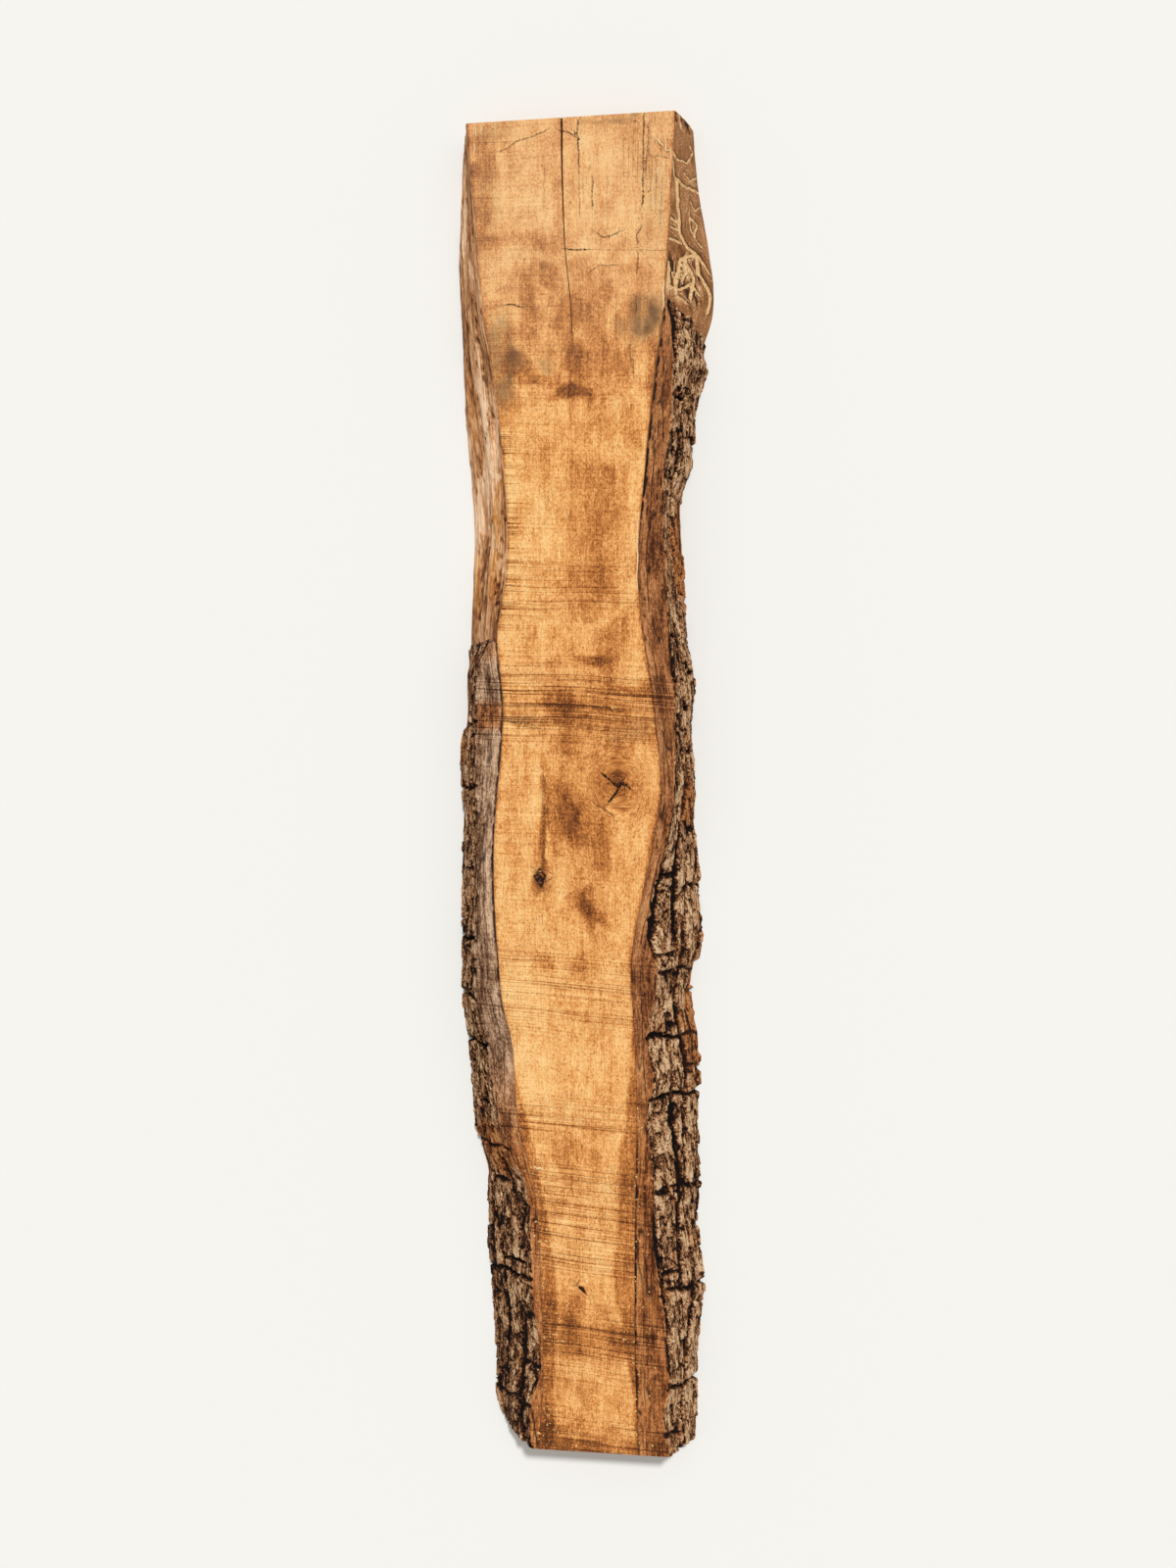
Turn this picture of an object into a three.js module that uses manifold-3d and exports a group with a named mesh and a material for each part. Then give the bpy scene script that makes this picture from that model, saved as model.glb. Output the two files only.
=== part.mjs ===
// Pecan slab: a plank sawn lengthways out of a pecan log, with bark still on part of each edge.
// It lies on its wide sawn face. +Z is up, out of the narrow sawn face, and +Y runs along the grain.
import * as THREE from 'three';
import Module from 'manifold-3d';

// Sawn size in mm, and how strongly the edges of the slab bulge as parts of a round log
const LENGTH = 2184;
const THICK = 64;
const LOG_ROUND = 0.34;

// Edges in mm, as [y, x] points from the far end to the near end.
// front: on the narrow upper sawn face. back: on the wide lower sawn face.
const LEFT = {
  out: -1,
  wood: {
    front: [[1092, -190], [960, -178], [800, -165], [700, -150], [600, -135], [440, -122], [350, -123],
      [240, -138], [120, -128], [-120, -144], [-350, -131], [-430, -113], [-550, -104], [-670, -75],
      [-850, -64], [-980, -62], [-1092, -70]],
    back: [[1092, -207], [1010, -210], [900, -216], [800, -212], [660, -205], [540, -196], [420, -188],
      [330, -192], [240, -195], [150, -186], [30, -190], [-120, -187], [-350, -186], [-430, -179],
      [-590, -161], [-680, -148], [-800, -142], [-920, -132], [-1092, -120]],
  },
  bark: {
    front: [[260, -168], [180, -175], [-180, -174], [-350, -177], [-420, -160], [-490, -151],
      [-550, -136], [-605, -121], [-660, -92], [-780, -83], [-850, -82], [-900, -72], [-970, -70],
      [-1020, -84], [-1092, -84]],
    back: [[260, -204], [180, -205], [120, -203], [60, -211], [0, -211], [-60, -206], [-300, -208],
      [-360, -206], [-480, -192], [-600, -182], [-660, -168], [-780, -164], [-840, -158], [-960, -150],
      [-1020, -148], [-1092, -138]],
    farEnd: { front: 236, back: 230 },
    nearEnd: { front: -1092, back: -1056 },
    cracks: [102, -5, -258, -354, -431, -603, -814, -1019],
    bared: [{ s: 0.85, y: 160, halfS: 0.4, halfY: 66 }, { s: 0.98, y: -630, halfS: 0.2, halfY: 40 }],
    seam: { from: 236, to: -1092, width: 0 },
    seed: 3,
  },
};
const RIGHT = {
  out: 1,
  wood: {
    front: [[1092, 153], [980, 148], [790, 135], [650, 118], [500, 103], [360, 93], [260, 99], [130, 118],
      [0, 130], [-60, 124], [-180, 101], [-290, 82], [-400, 87], [-510, 91], [-700, 88], [-900, 88],
      [-1092, 93]],
    back: [[1092, 182], [1000, 190], [900, 206], [830, 215.5], [780, 214], [740, 202], [700, 185],
      [650, 172], [560, 158], [470, 143], [360, 146], [250, 152], [150, 160], [0, 164], [-120, 167], [-230, 172],
      [-340, 160], [-430, 168], [-700, 168], [-830, 174], [-960, 170], [-1092, 164]],
  },
  bark: {
    front: [[800, 154], [600, 149], [490, 138], [300, 143], [150, 155], [0, 155], [-70, 149],
      [-180, 118], [-245, 112], [-300, 127], [-420, 111], [-480, 122], [-545, 110], [-620, 118],
      [-790, 126], [-900, 143], [-970, 147], [-1030, 138], [-1092, 146]],
    back: [[800, 210], [730, 207], [690, 206], [660, 196], [610, 185], [520, 178], [480, 163], [400, 165],
      [240, 171], [180, 182], [80, 178], [0, 185], [-60, 181], [-150, 190], [-245, 195], [-350, 178],
      [-420, 191], [-540, 189], [-670, 194], [-720, 188], [-840, 198], [-920, 190], [-1092, 182]],
    farEnd: { front: 785, back: 728 },
    nearEnd: { front: -1092, back: -1092 },
    cracks: [-169, -305, -414, -511, -662, -830, -986],
    bared: [{ s: 0.9, y: 424, halfS: 0.28, halfY: 50 }, { s: 0.95, y: -316, halfS: 0.16, halfY: 22 },
      { s: 0.9, y: -418, halfS: 0.25, halfY: 38 }],
    seam: { from: 776, to: 440, width: 4 },
    seed: 11,
  },
};

// Bark relief in mm: fissures wander along the grain and part the bark into columns of plates.
// Each fissure is shifted and bent by shares of a plate's width, and it gapes wider in some stretches.
const PLATE_WIDTH = 26;
const PLATE_LENGTH = 130;
const PLATE_UNEVEN = 4;
const FURROW_DEPTH = 10;
const FURROW_HALF_WIDTH = 7;
const FISSURE_SWAY = { slow: 5, slowPitch: 110, quick: 3, quickPitch: 47 };
const FISSURE_SHIFT = 0.5;
const FISSURE_BEND = { size: 0.16, pitch: 58, turn: 2.3 };
const FISSURE_GAPE = { least: 0.35, pitch: 90, turn: 4.1, shut: -0.6, open: 0.2 };
const SAWN_EDGE = { share: 0.4, reach: 0.12 };
const BARED_DEPTH = 8;
const CRACK_DEPTH = 9;
const CRACK_HALF_WIDTH = 7;
const CRACK_WANDER = { size: 3, pitch: 9 };
const RAGGED_END = { size: 6, turns: 19 };
const BARK_GIRTH = 84;
const BROKEN_END = 45;
const BARK_GAP = 0.6;
const BARK_LEAST = 6;
const PLATE_PROUD = 6;
const THINNEST_SHARE = 0.45;

// Drying check that opens the far end, in mm: its line as [y, x], and its mouth and depth at that end
const CHECK_LINE = [[1100, -32], [1002, -31], [936, -29], [889, -27], [834, -22], [800, -18], [752, -15],
  [710, -14]];
const CHECK_WIDTH = 4;
const CHECK_DEPTH = 30;
const CHECK_TIP = 0.1;

// Spacing of the mesh in mm along the grain, and the number of points round each curved edge
const ROW_STEP = 16;
const EDGE_POINTS = 7;
const BARK_POINTS = 12;
const SLANTED_ROWS = [0, 0.15, 0.3, 0.45, 0.6, 0.8, 1];

const wasm = await Module();
wasm.setup();

// Smooth curve x(y) through points that are listed from the far end to the near end
function curveThrough(points) {
  const slope = points.map((point, i) => {
    const before = points[Math.max(i - 1, 0)];
    const after = points[Math.min(i + 1, points.length - 1)];
    return (after[1] - before[1]) / (after[0] - before[0]);
  });
  return (y) => {
    let i = 0;
    while (i < points.length - 2 && y < points[i + 1][0]) {
      i += 1;
    }
    const span = points[i + 1][0] - points[i][0];
    const t = THREE.MathUtils.clamp((y - points[i][0]) / span, 0, 1);
    const rise = t * t * (3 - 2 * t);
    const leave = t * (1 - t) * (1 - t) * span * slope[i];
    const arrive = t * t * (t - 1) * span * slope[i + 1];
    return points[i][1] * (1 - rise) + points[i + 1][1] * rise + leave + arrive;
  };
}

// x across a rounded edge, from s = 0 on the front face to s = 1 on the back face
function roundedEdge(shape) {
  const front = curveThrough(shape.front);
  const back = curveThrough(shape.back);
  return (y, s) => {
    const bulge = s + LOG_ROUND * s * (1 - s);
    return THREE.MathUtils.lerp(front(y), back(y), bulge);
  };
}

// Repeatable random number from 0 to 1 for a cell of the plate pattern
function cellRandom(i, j, seed) {
  const wave = Math.sin(i * 127.1 + j * 311.7 + seed * 74.7) * 43758.5453;
  return wave - Math.floor(wave);
}

// Depth of the bark below its plate tops: furrows along the fissures, and plates of uneven height
function furrowDepth(across, y, seed) {
  const { slow, slowPitch, quick, quickPitch } = FISSURE_SWAY;
  const sway = slow * Math.sin(y / slowPitch + seed) + quick * Math.sin(y / quickPitch + 2 * seed);
  const u = (across + sway) / PLATE_WIDTH;
  const first = Math.floor(u);
  let column = first - 2;
  let furrow = 0;
  for (let k = first - 1; k <= first + 2; k += 1) {
    const bend = FISSURE_BEND.size * Math.sin(y / FISSURE_BEND.pitch + FISSURE_BEND.turn * k + seed);
    const at = k + FISSURE_SHIFT * (cellRandom(k, 0, seed) - 0.5) + bend;
    const wave = Math.sin(y / FISSURE_GAPE.pitch + FISSURE_GAPE.turn * k + seed);
    const opened = THREE.MathUtils.smoothstep(wave, FISSURE_GAPE.shut, FISSURE_GAPE.open);
    const gape = THREE.MathUtils.lerp(FISSURE_GAPE.least, 1, opened);
    const from = Math.abs(u - at) * PLATE_WIDTH;
    furrow = Math.max(furrow, gape * (1 - THREE.MathUtils.smoothstep(from, 0, FURROW_HALF_WIDTH)));
    column += u > at ? 1 : 0;
  }
  const place = Math.floor(y / PLATE_LENGTH + cellRandom(column, 1, seed));
  return FURROW_DEPTH * furrow + PLATE_UNEVEN * cellRandom(column, place, seed + 9);
}

// Share of a point that lies in a patch where the outer plates have broken off
function baredShare(patches, s, y) {
  const shares = patches.map((patch) => {
    const away = Math.hypot((s - patch.s) / patch.halfS, (y - patch.y) / patch.halfY);
    return 1 - THREE.MathUtils.smoothstep(away, 0.8, 1.1);
  });
  return Math.max(...shares);
}

// Depth of the breaks across the bark
function crackDepth(cracks, across, y) {
  const depths = cracks.map((at) => {
    const from = Math.abs(y - at - CRACK_WANDER.size * Math.sin(across / CRACK_WANDER.pitch + at));
    return CRACK_DEPTH * (1 - THREE.MathUtils.smoothstep(from, 0, CRACK_HALF_WIDTH));
  });
  return Math.max(...depths);
}

// Closed solid from rings of points, all with as many points, one ring after another along the grain
function solidFromRings(rings) {
  const size = rings[0].length;
  const position = rings.flat().flatMap((point) => point.toArray());
  const index = [];
  for (let r = 0; r < rings.length - 1; r += 1) {
    for (let k = 0; k < size; k += 1) {
      const a = r * size + k;
      const b = r * size + (k + 1) % size;
      index.push(a, a + size, b, b, a + size, b + size);
    }
  }
  const cap = (ring, first, turn) => {
    const outline = ring.map((point) => new THREE.Vector2(point.x, point.z));
    for (const [a, b, c] of THREE.ShapeUtils.triangulateShape(outline, [])) {
      index.push(first + a, first + (turn ? c : b), first + (turn ? b : c));
    }
  };
  cap(rings[0], 0, true);
  cap(rings[rings.length - 1], (rings.length - 1) * size, false);
  const geometry = new THREE.BufferGeometry();
  geometry.setAttribute('position', new THREE.Float32BufferAttribute(position, 3));
  geometry.setIndex(index);
  return geometry;
}

function toManifold(geometry) {
  const vertProperties = new Float32Array(geometry.getAttribute('position').array);
  const triVerts = new Uint32Array(geometry.getIndex().array);
  return new wasm.Manifold(new wasm.Mesh({ numProp: 3, vertProperties, triVerts }));
}

function cutAway(geometry, tool) {
  const mesh = toManifold(geometry).subtract(toManifold(tool)).getMesh();
  const result = new THREE.BufferGeometry();
  result.setAttribute('position', new THREE.BufferAttribute(mesh.vertProperties, 3));
  result.setIndex(new THREE.BufferAttribute(mesh.triVerts, 1));
  return result;
}

// Rows along the grain, from the far end to the near end
const rowCount = Math.round(LENGTH / ROW_STEP);
const rows = Array.from({ length: rowCount + 1 }, (_, i) => LENGTH * (0.5 - i / rowCount));

// Heartwood and sapwood: two flat sawn faces, two flat ends and the rounded edges of the log
function woodGeometry() {
  const left = roundedEdge(LEFT.wood);
  const right = roundedEdge(RIGHT.wood);
  const steps = Array.from({ length: EDGE_POINTS }, (_, i) => i / (EDGE_POINTS - 1));
  const rings = rows.map((y) => [
    ...steps.map((s) => new THREE.Vector3(right(y, s), y, THICK * (1 - s))),
    ...steps.map((s) => new THREE.Vector3(left(y, 1 - s), y, THICK * s)),
  ]);
  return cutAway(solidFromRings(rings), checkGeometry());
}

// The drying check: a wedge, widest and deepest at the far end and closing to nothing along the grain
function checkGeometry() {
  const start = CHECK_LINE[0][0];
  const reach = start - CHECK_LINE[CHECK_LINE.length - 1][0];
  const rings = CHECK_LINE.map(([y, x]) => {
    const open = Math.max(1 - (start - y) / reach, CHECK_TIP);
    return [
      new THREE.Vector3(x + 0.5 * CHECK_WIDTH * open, y, THICK + 1),
      new THREE.Vector3(x, y, THICK - CHECK_DEPTH * open),
      new THREE.Vector3(x - 0.5 * CHECK_WIDTH * open, y, THICK + 1),
    ];
  });
  return solidFromRings(rings);
}

// One strip of bark: its inner side follows the wood, its outer side carries plates and furrows,
// and it is sawn off flush with both faces
function barkGeometry(side) {
  const { bark, out } = side;
  const woodAt = roundedEdge(side.wood);
  const barkAt = roundedEdge(bark);
  const ragged = (s) => RAGGED_END.size * Math.sin(RAGGED_END.turns * s);
  const farEnd = (s) => THREE.MathUtils.lerp(bark.farEnd.front, bark.farEnd.back, s) + ragged(s);
  const nearEnd = (s) => THREE.MathUtils.lerp(bark.nearEnd.front, bark.nearEnd.back, s * s);
  const inner = (y, s) => {
    const { from, to, width } = bark.seam;
    const open = y > from ? 0 : width * THREE.MathUtils.clamp((y - to) / (from - to), 0, 1);
    return new THREE.Vector3(woodAt(y, s) + out * (BARK_GAP + open * (1 - s) * (1 - s)), y, THICK * (1 - s));
  };
  const outer = (y, s) => {
    const thick = Math.max(out * (barkAt(y, s) - inner(y, s).x) + PLATE_PROUD * s, BARK_LEAST);
    const x = inner(y, s).x + out * thick;
    const across = s * BARK_GIRTH;
    const broken = 1 - THREE.MathUtils.smoothstep(farEnd(s) - y, 0, BROKEN_END);
    const plates = Math.max(furrowDepth(across, y, bark.seed), crackDepth(bark.cracks, across, y));
    const bared = baredShare(bark.bared, s, y);
    const edge = THREE.MathUtils.lerp(SAWN_EDGE.share, 1, THREE.MathUtils.smoothstep(s, 0, SAWN_EDGE.reach));
    const relief = edge * THREE.MathUtils.lerp(plates, Math.min(BARED_DEPTH, 0.5 * thick), bared);
    const depth = Math.min(relief + 0.5 * thick * broken, thick * (1 - THINNEST_SHARE));
    const lean = Math.atan2(Math.abs(barkAt(y, 1) - barkAt(y, 0)), THICK) * Math.min(1, 6 * s * (1 - s));
    return new THREE.Vector3(
      x - out * depth * Math.cos(lean),
      y,
      THICK * (1 - s) - depth * Math.sin(lean) * (1 - s),
    );
  };
  const innerSteps = Array.from({ length: EDGE_POINTS }, (_, i) => i / (EDGE_POINTS - 1));
  const outerSteps = Array.from({ length: BARK_POINTS }, (_, i) => i / (BARK_POINTS - 1));
  const ringAt = (yOf) => [
    ...outerSteps.map((s) => outer(yOf(s), s)),
    ...innerSteps.map((s) => inner(yOf(1 - s), 1 - s)),
  ];
  const plain = rows.filter((y) => bark.cracks.every((at) => Math.abs(y - at) > CRACK_HALF_WIDTH));
  const cracked = bark.cracks.flatMap((at) => [at + CRACK_HALF_WIDTH, at, at - CRACK_HALF_WIDTH]);
  const firstStraight = Math.min(...outerSteps.map(farEnd)) - BROKEN_END;
  const lastStraight = Math.max(...outerSteps.map(nearEnd)) + ROW_STEP;
  const straight = [...plain, ...cracked].sort((a, b) => b - a).filter((y) => (
    y < firstStraight - 0.5 * ROW_STEP && y > lastStraight + 0.5 * ROW_STEP
  ));
  const slanted = (end, line, share) => ringAt((s) => THREE.MathUtils.lerp(end(s), line, share));
  const rings = [
    ...SLANTED_ROWS.map((share) => slanted(farEnd, firstStraight, share)),
    ...straight.map((y) => ringAt(() => y)),
    ...SLANTED_ROWS.toReversed().map((share) => slanted(nearEnd, lastStraight, share)),
  ];
  if (out < 0) {
    rings.forEach((ring) => ring.reverse());
  }
  return solidFromRings(rings);
}

const woodMaterial = new THREE.MeshStandardMaterial({ color: '#e6aa6a', roughness: 0.82, metalness: 0 });
const barkMaterial = new THREE.MeshStandardMaterial({ color: '#7d5d45', roughness: 0.95, metalness: 0 });

function named(name, geometry, material) {
  const mesh = new THREE.Mesh(geometry, material);
  mesh.name = name;
  return mesh;
}

const slab = new THREE.Group();
slab.add(named('wood', woodGeometry(), woodMaterial));
slab.add(named('bark_left', barkGeometry(LEFT), barkMaterial));
slab.add(named('bark_right', barkGeometry(RIGHT), barkMaterial.clone()));

export default slab;
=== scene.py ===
import math

import bpy
import numpy as np
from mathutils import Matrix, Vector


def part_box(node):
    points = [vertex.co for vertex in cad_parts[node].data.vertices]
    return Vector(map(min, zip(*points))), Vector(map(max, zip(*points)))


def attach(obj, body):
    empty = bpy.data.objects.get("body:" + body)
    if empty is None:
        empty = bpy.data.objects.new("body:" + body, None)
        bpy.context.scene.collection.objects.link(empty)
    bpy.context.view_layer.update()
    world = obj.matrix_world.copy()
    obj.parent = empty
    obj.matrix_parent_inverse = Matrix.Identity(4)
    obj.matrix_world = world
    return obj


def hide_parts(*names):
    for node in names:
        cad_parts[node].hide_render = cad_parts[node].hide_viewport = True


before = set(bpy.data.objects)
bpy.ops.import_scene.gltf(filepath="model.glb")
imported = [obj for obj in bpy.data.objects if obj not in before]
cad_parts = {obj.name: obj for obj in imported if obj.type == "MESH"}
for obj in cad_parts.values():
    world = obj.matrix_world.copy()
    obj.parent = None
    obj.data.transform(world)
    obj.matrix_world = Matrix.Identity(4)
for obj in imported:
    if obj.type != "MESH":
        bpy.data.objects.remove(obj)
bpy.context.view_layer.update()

# Wood of the slab: one plank of pecan, bandsawn lengthways out of a log and left rough to dry.
# Its faces are sawn flat, its ends are cut square, and its edges are the bare round of the log
# where the bark has dropped off. A drying check has opened the far end. Sizes of the slab are in mm.
MM = 0.001
wood_low, wood_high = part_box("wood")
LENGTH = (wood_high[1] - wood_low[1]) / MM
THICK = (wood_high[2] - wood_low[2]) / MM
LOG_ROUND = 0.34
EDGE_GIRTH = 82
LEFT_WOOD_FRONT = [
    (1092, -190), (960, -178), (800, -165), (700, -150), (600, -135), (440, -122), (350, -123),
    (240, -138), (120, -128), (-120, -144), (-350, -131), (-430, -113), (-550, -104), (-670, -75),
    (-850, -64), (-980, -62), (-1092, -70),
]
LEFT_WOOD_BACK = [
    (1092, -207), (1010, -210), (900, -216), (800, -212), (660, -205), (540, -196), (420, -188),
    (330, -192), (240, -195), (150, -186), (30, -190), (-120, -187), (-350, -186), (-430, -179),
    (-590, -161), (-680, -148), (-800, -142), (-920, -132), (-1092, -120),
]
RIGHT_WOOD_FRONT = [
    (1092, 153), (980, 148), (790, 135), (650, 118), (500, 103), (360, 93), (260, 99), (130, 118),
    (0, 130), (-60, 124), (-180, 101), (-290, 82), (-400, 87), (-510, 91), (-700, 88), (-900, 88),
    (-1092, 93),
]
RIGHT_WOOD_BACK = [
    (1092, 182), (1000, 190), (900, 206), (830, 215.5), (780, 214), (740, 202), (700, 185), (650, 172),
    (560, 158), (470, 143), (360, 146), (250, 152), (150, 160), (0, 164), (-120, 167), (-230, 172),
    (-340, 160), (-430, 168), (-700, 168), (-830, 174), (-960, 170), (-1092, 164),
]
LEFT_BARK_STARTS = 236
RIGHT_BARK_STARTS = (785, 728)
CHECK_LINE = [
    (1100, -32), (1002, -31), (936, -29), (889, -27), (834, -22), (800, -18), (752, -15), (710, -14),
    (500, -14), (-1100, 8),
]
CHECK_ENDS = 710
CHECK_WIDTH = 4
CHECK_DEPTH = 30
SAW_LEAN = 0.062
SAW_PITCH = 8.5
SHARP_ANGLE = math.radians(55)


def curve_through(points):
    """Smooth x(y) through (y, x) points listed from the far end: a cubic between neighbours, whose
    slope at a point is the slope between the points on either side of it."""
    y, x = np.array(points[::-1], float).T
    before = np.maximum(np.arange(len(y)) - 1, 0)
    after = np.minimum(np.arange(len(y)) + 1, len(y) - 1)
    slope = (x[after] - x[before]) / (y[after] - y[before])

    def curve(where):
        i = np.clip(np.searchsorted(y, where) - 1, 0, len(y) - 2)
        span = y[i + 1] - y[i]
        t = np.clip((where - y[i]) / span, 0, 1)
        rise = t * t * (3 - 2 * t)
        swing = t * (1 - t) ** 2 * slope[i] - t * t * (1 - t) * slope[i + 1]
        return x[i] * (1 - rise) + x[i + 1] * rise + span * swing

    return curve


def rounded_edge(front, back):
    """x across a rounded edge of the log: s runs from 0 on the front face to 1 on the back face, and
    the edge bulges between the two curves as part of a circle does."""
    front_curve, back_curve = curve_through(front), curve_through(back)

    def edge(y, s):
        bulge = s + LOG_ROUND * s * (1 - s)
        return front_curve(y) * (1 - bulge) + back_curve(y) * bulge

    return edge


def ease(low, high, value):
    """0 below low, 1 above high and a smooth S between them; with low above high it falls instead."""
    t = np.clip((value - low) / (high - low), 0, 1)
    return t * t * (3 - 2 * t)


def cell_random(i, j, seed):
    """Repeatable random number from 0 to 1 for a cell of a grid, the same as the solids use."""
    wave = np.sin(i * 127.1 + j * 311.7 + seed * 74.7) * 43758.5453
    return wave - np.floor(wave)


def noise(u, v, seed, octaves=3):
    """Smooth noise from -1 to 1: random values at whole numbers of u and v blended between them, with
    octaves of half the size and half the strength added on."""
    total, size, strength = 0.0, 1.0, 1.0
    for octave in range(octaves):
        a, b = u * size, v * size
        i, j = np.floor(a), np.floor(b)
        p, q = ease(0, 1, a - i), ease(0, 1, b - j)
        corner = [cell_random(i + m, j + n, seed + 3.1 * octave) for m in (0, 1) for n in (0, 1)]
        low, high = corner[0] * (1 - q) + corner[1] * q, corner[2] * (1 - q) + corner[3] * q
        total = total + strength * (2 * (low * (1 - p) + high * p) - 1)
        size, strength = size * 2, strength * 0.5
    return total / (2 - 2 * strength)


def offset_from_lines(u, v, lines):
    """Signed offset of each point from the nearest of several drawn lines, in half-widths of that line, and
    that line's strength. A line is (half width, strength, points); the sign tells the side of the line."""
    nearest, signed, strengths = np.full(u.shape, 99.0), np.full(u.shape, 99.0), np.zeros(u.shape)
    for half_width, strength, points in lines:
        for (u0, v0), (u1, v1) in zip(points[:-1], points[1:]):
            du, dv = u1 - u0, v1 - v0
            along = np.clip(((u - u0) * du + (v - v0) * dv) / (du * du + dv * dv), 0, 1)
            away_u, away_v = u - u0 - along * du, v - v0 - along * dv
            distance = np.hypot(away_u, away_v) / half_width
            closer = distance < nearest
            side = np.where(du * away_v - dv * away_u < 0, -1.0, 1.0)
            nearest = np.where(closer, distance, nearest)
            signed = np.where(closer, side * distance, signed)
            strengths = np.where(closer, strength, strengths)
    return signed, strengths


def mesh_object(name, points, quads, caps, materials, slots, fields):
    """Mesh from points in mm, four-sided faces, end polygons, a material slot for each face and named
    fields, which are numbers or vectors kept at each point. Sharp edges stay sharp."""
    mesh = bpy.data.meshes.new(name)
    corners = np.concatenate([quads.ravel(), *caps]).astype(np.int32)
    totals = np.array([4] * len(quads) + [len(cap) for cap in caps])
    mesh.vertices.add(len(points))
    mesh.vertices.foreach_set("co", (points * MM).astype(np.float32).ravel())
    mesh.loops.add(len(corners))
    mesh.loops.foreach_set("vertex_index", corners)
    mesh.polygons.add(len(totals))
    mesh.polygons.foreach_set("loop_start", (np.cumsum(totals) - totals).astype(np.int32))
    mesh.polygons.foreach_set("material_index", slots.astype(np.int32))
    for material in materials:
        mesh.materials.append(material)
    for field, values in fields.items():
        kind, holds = ("FLOAT_VECTOR", "vector") if values.size == 3 * len(points) else ("FLOAT", "value")
        attribute = mesh.attributes.new(field, kind, "POINT")
        attribute.data.foreach_set(holds, values.astype(np.float32).ravel())
    mesh.update(calc_edges=True)
    mesh.validate()
    mesh.polygons.foreach_set("use_smooth", np.ones(len(mesh.polygons), bool))
    mesh.set_sharp_from_angle(angle=SHARP_ANGLE)
    made = bpy.data.objects.new(name, mesh)
    bpy.context.collection.objects.link(made)
    return made


def ring_faces(rows, columns):
    """Four-sided faces of a grid of rows whose columns close on themselves, and its two end polygons."""
    row, column = np.meshgrid(np.arange(rows - 1), np.arange(columns), indexing="ij")
    a = row * columns + column
    b = row * columns + (column + 1) % columns
    quads = np.stack([a, a + columns, b + columns, b], axis=-1).reshape(-1, 4)
    far_cap = np.arange(columns)
    near_cap = (rows - 1) * columns + np.arange(columns)[::-1]
    return quads, [far_cap, near_cap]


# Stains of the sawn face, as (x, y, half width, half height, strength)
BROWN_STAINS = [
    (-84, 893, 66, 17, 0.5), (90, 893, 60, 16, 0.35), (-2, 857, 17, 15, 0.5), (-68, 838, 24, 26, 0.38),
    (-58, 812, 12, 10, 0.4), (-96, 800, 18, 20, 0.35), (140, 1036, 14, 12, 0.5), (20, 832, 40, 14, 0.2),
    (30, 720, 62, 100, 0.2), (-4, 770, 34, 44, 0.32), (-100, 690, 32, 18, 0.5), (-66, 664, 26, 14, 0.55),
    (-14, 640, 38, 15, 1.0), (-8, 690, 20, 22, 0.5), (44, 800, 16, 26, 0.35), (60, 585, 40, 22, 0.25),
    (12, 470, 42, 74, 0.32), (52, 440, 34, 50, 0.3), (20, 360, 42, 50, 0.38), (50, 345, 26, 40, 0.3),
    (-16, 330, 10, 26, 0.35), (60, 256, 30, 20, 0.3), (28, 205, 30, 11, 0.8), (72, 262, 9, 34, 0.3),
    (58, 212, 9, 26, 0.35), (-28, 136, 34, 24, 0.75), (30, 108, 130, 7, 0.4), (80, 158, 34, 14, 0.45),
    (-23, 69, 28, 26, 0.5), (92, 80, 30, 18, 0.3), (-30, -34, 26, 46, 0.65), (-8, -60, 22, 44, 0.55),
    (60, 0, 52, 58, 0.45), (60, 2, 17, 17, 0.5), (26, -100, 24, 40, 0.42), (-52, 20, 20, 50, 0.25),
    (88, -90, 12, 40, 0.3), (4, -140, 26, 22, 0.3), (-71, -115, 13, 34, 0.4), (20, -210, 14, 50, 0.65),
    (-4, -184, 20, 18, 0.55), (-60, -288, 17, 10, 0.5), (10, -214, 12, 20, 0.5), (36, -226, 9, 13, 0.6),
    (8, -290, 30, 14, 0.25), (70, -150, 16, 40, 0.2), (-24, -620, 18, 50, 0.35), (20, -640, 14, 40, 0.35),
    (34, -560, 46, 12, 0.3), (-4, -700, 14, 60, 0.3), (40, -770, 40, 14, 0.25), (0, -905, 100, 26, 0.25),
    (-26, -890, 16, 30, 0.5), (60, -896, 13, 30, 0.5), (0, -1078, 130, 18, 0.55),
    (-30, -1046, 40, 10, 0.3), (-59, -70, 7, 96, 0.9), (-60, -160, 20, 34, 0.25), (-67, -154, 10, 15, 0.9),
    (-90, 1040, 60, 12, 0.2), (-168, 985, 19, 120, 0.55), (40, 940, 12, 60, 0.25), (-40, 960, 10, 90, 0.2),
    (110, 1000, 10, 70, 0.3),
]
GREY_STAINS = [
    (104, 752, 32, 46, 0.7), (118, 742, 16, 26, 0.35), (62, 742, 12, 14, 0.35), (-134, 716, 30, 64, 0.55),
    (-103, 697, 20, 20, 0.5), (-62, 690, 14, 26, 0.4), (-130, 640, 14, 30, 0.55),
    (-158, 960, 16, 110, 0.15), (122, 960, 24, 120, 0.15), (80, 90, 40, 20, 0.3),
    (-150, 1070, 40, 20, 0.2), (60, 1090, 60, 5, 0.6), (-66, -150, 13, 22, 0.4), (-110, 105, 22, 7, 0.5),
    (-60, 838, 10, 8, 0.4),
]
# Knots as (x, y, radius, darkness)
KNOTS = [(60, 0, 26, 0.2), (-67, -154, 12, 0.45), (2, -827, 6, 1.0), (1, -926, 4, 0.9), (-64, 807, 6, 0.6)]
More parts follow.
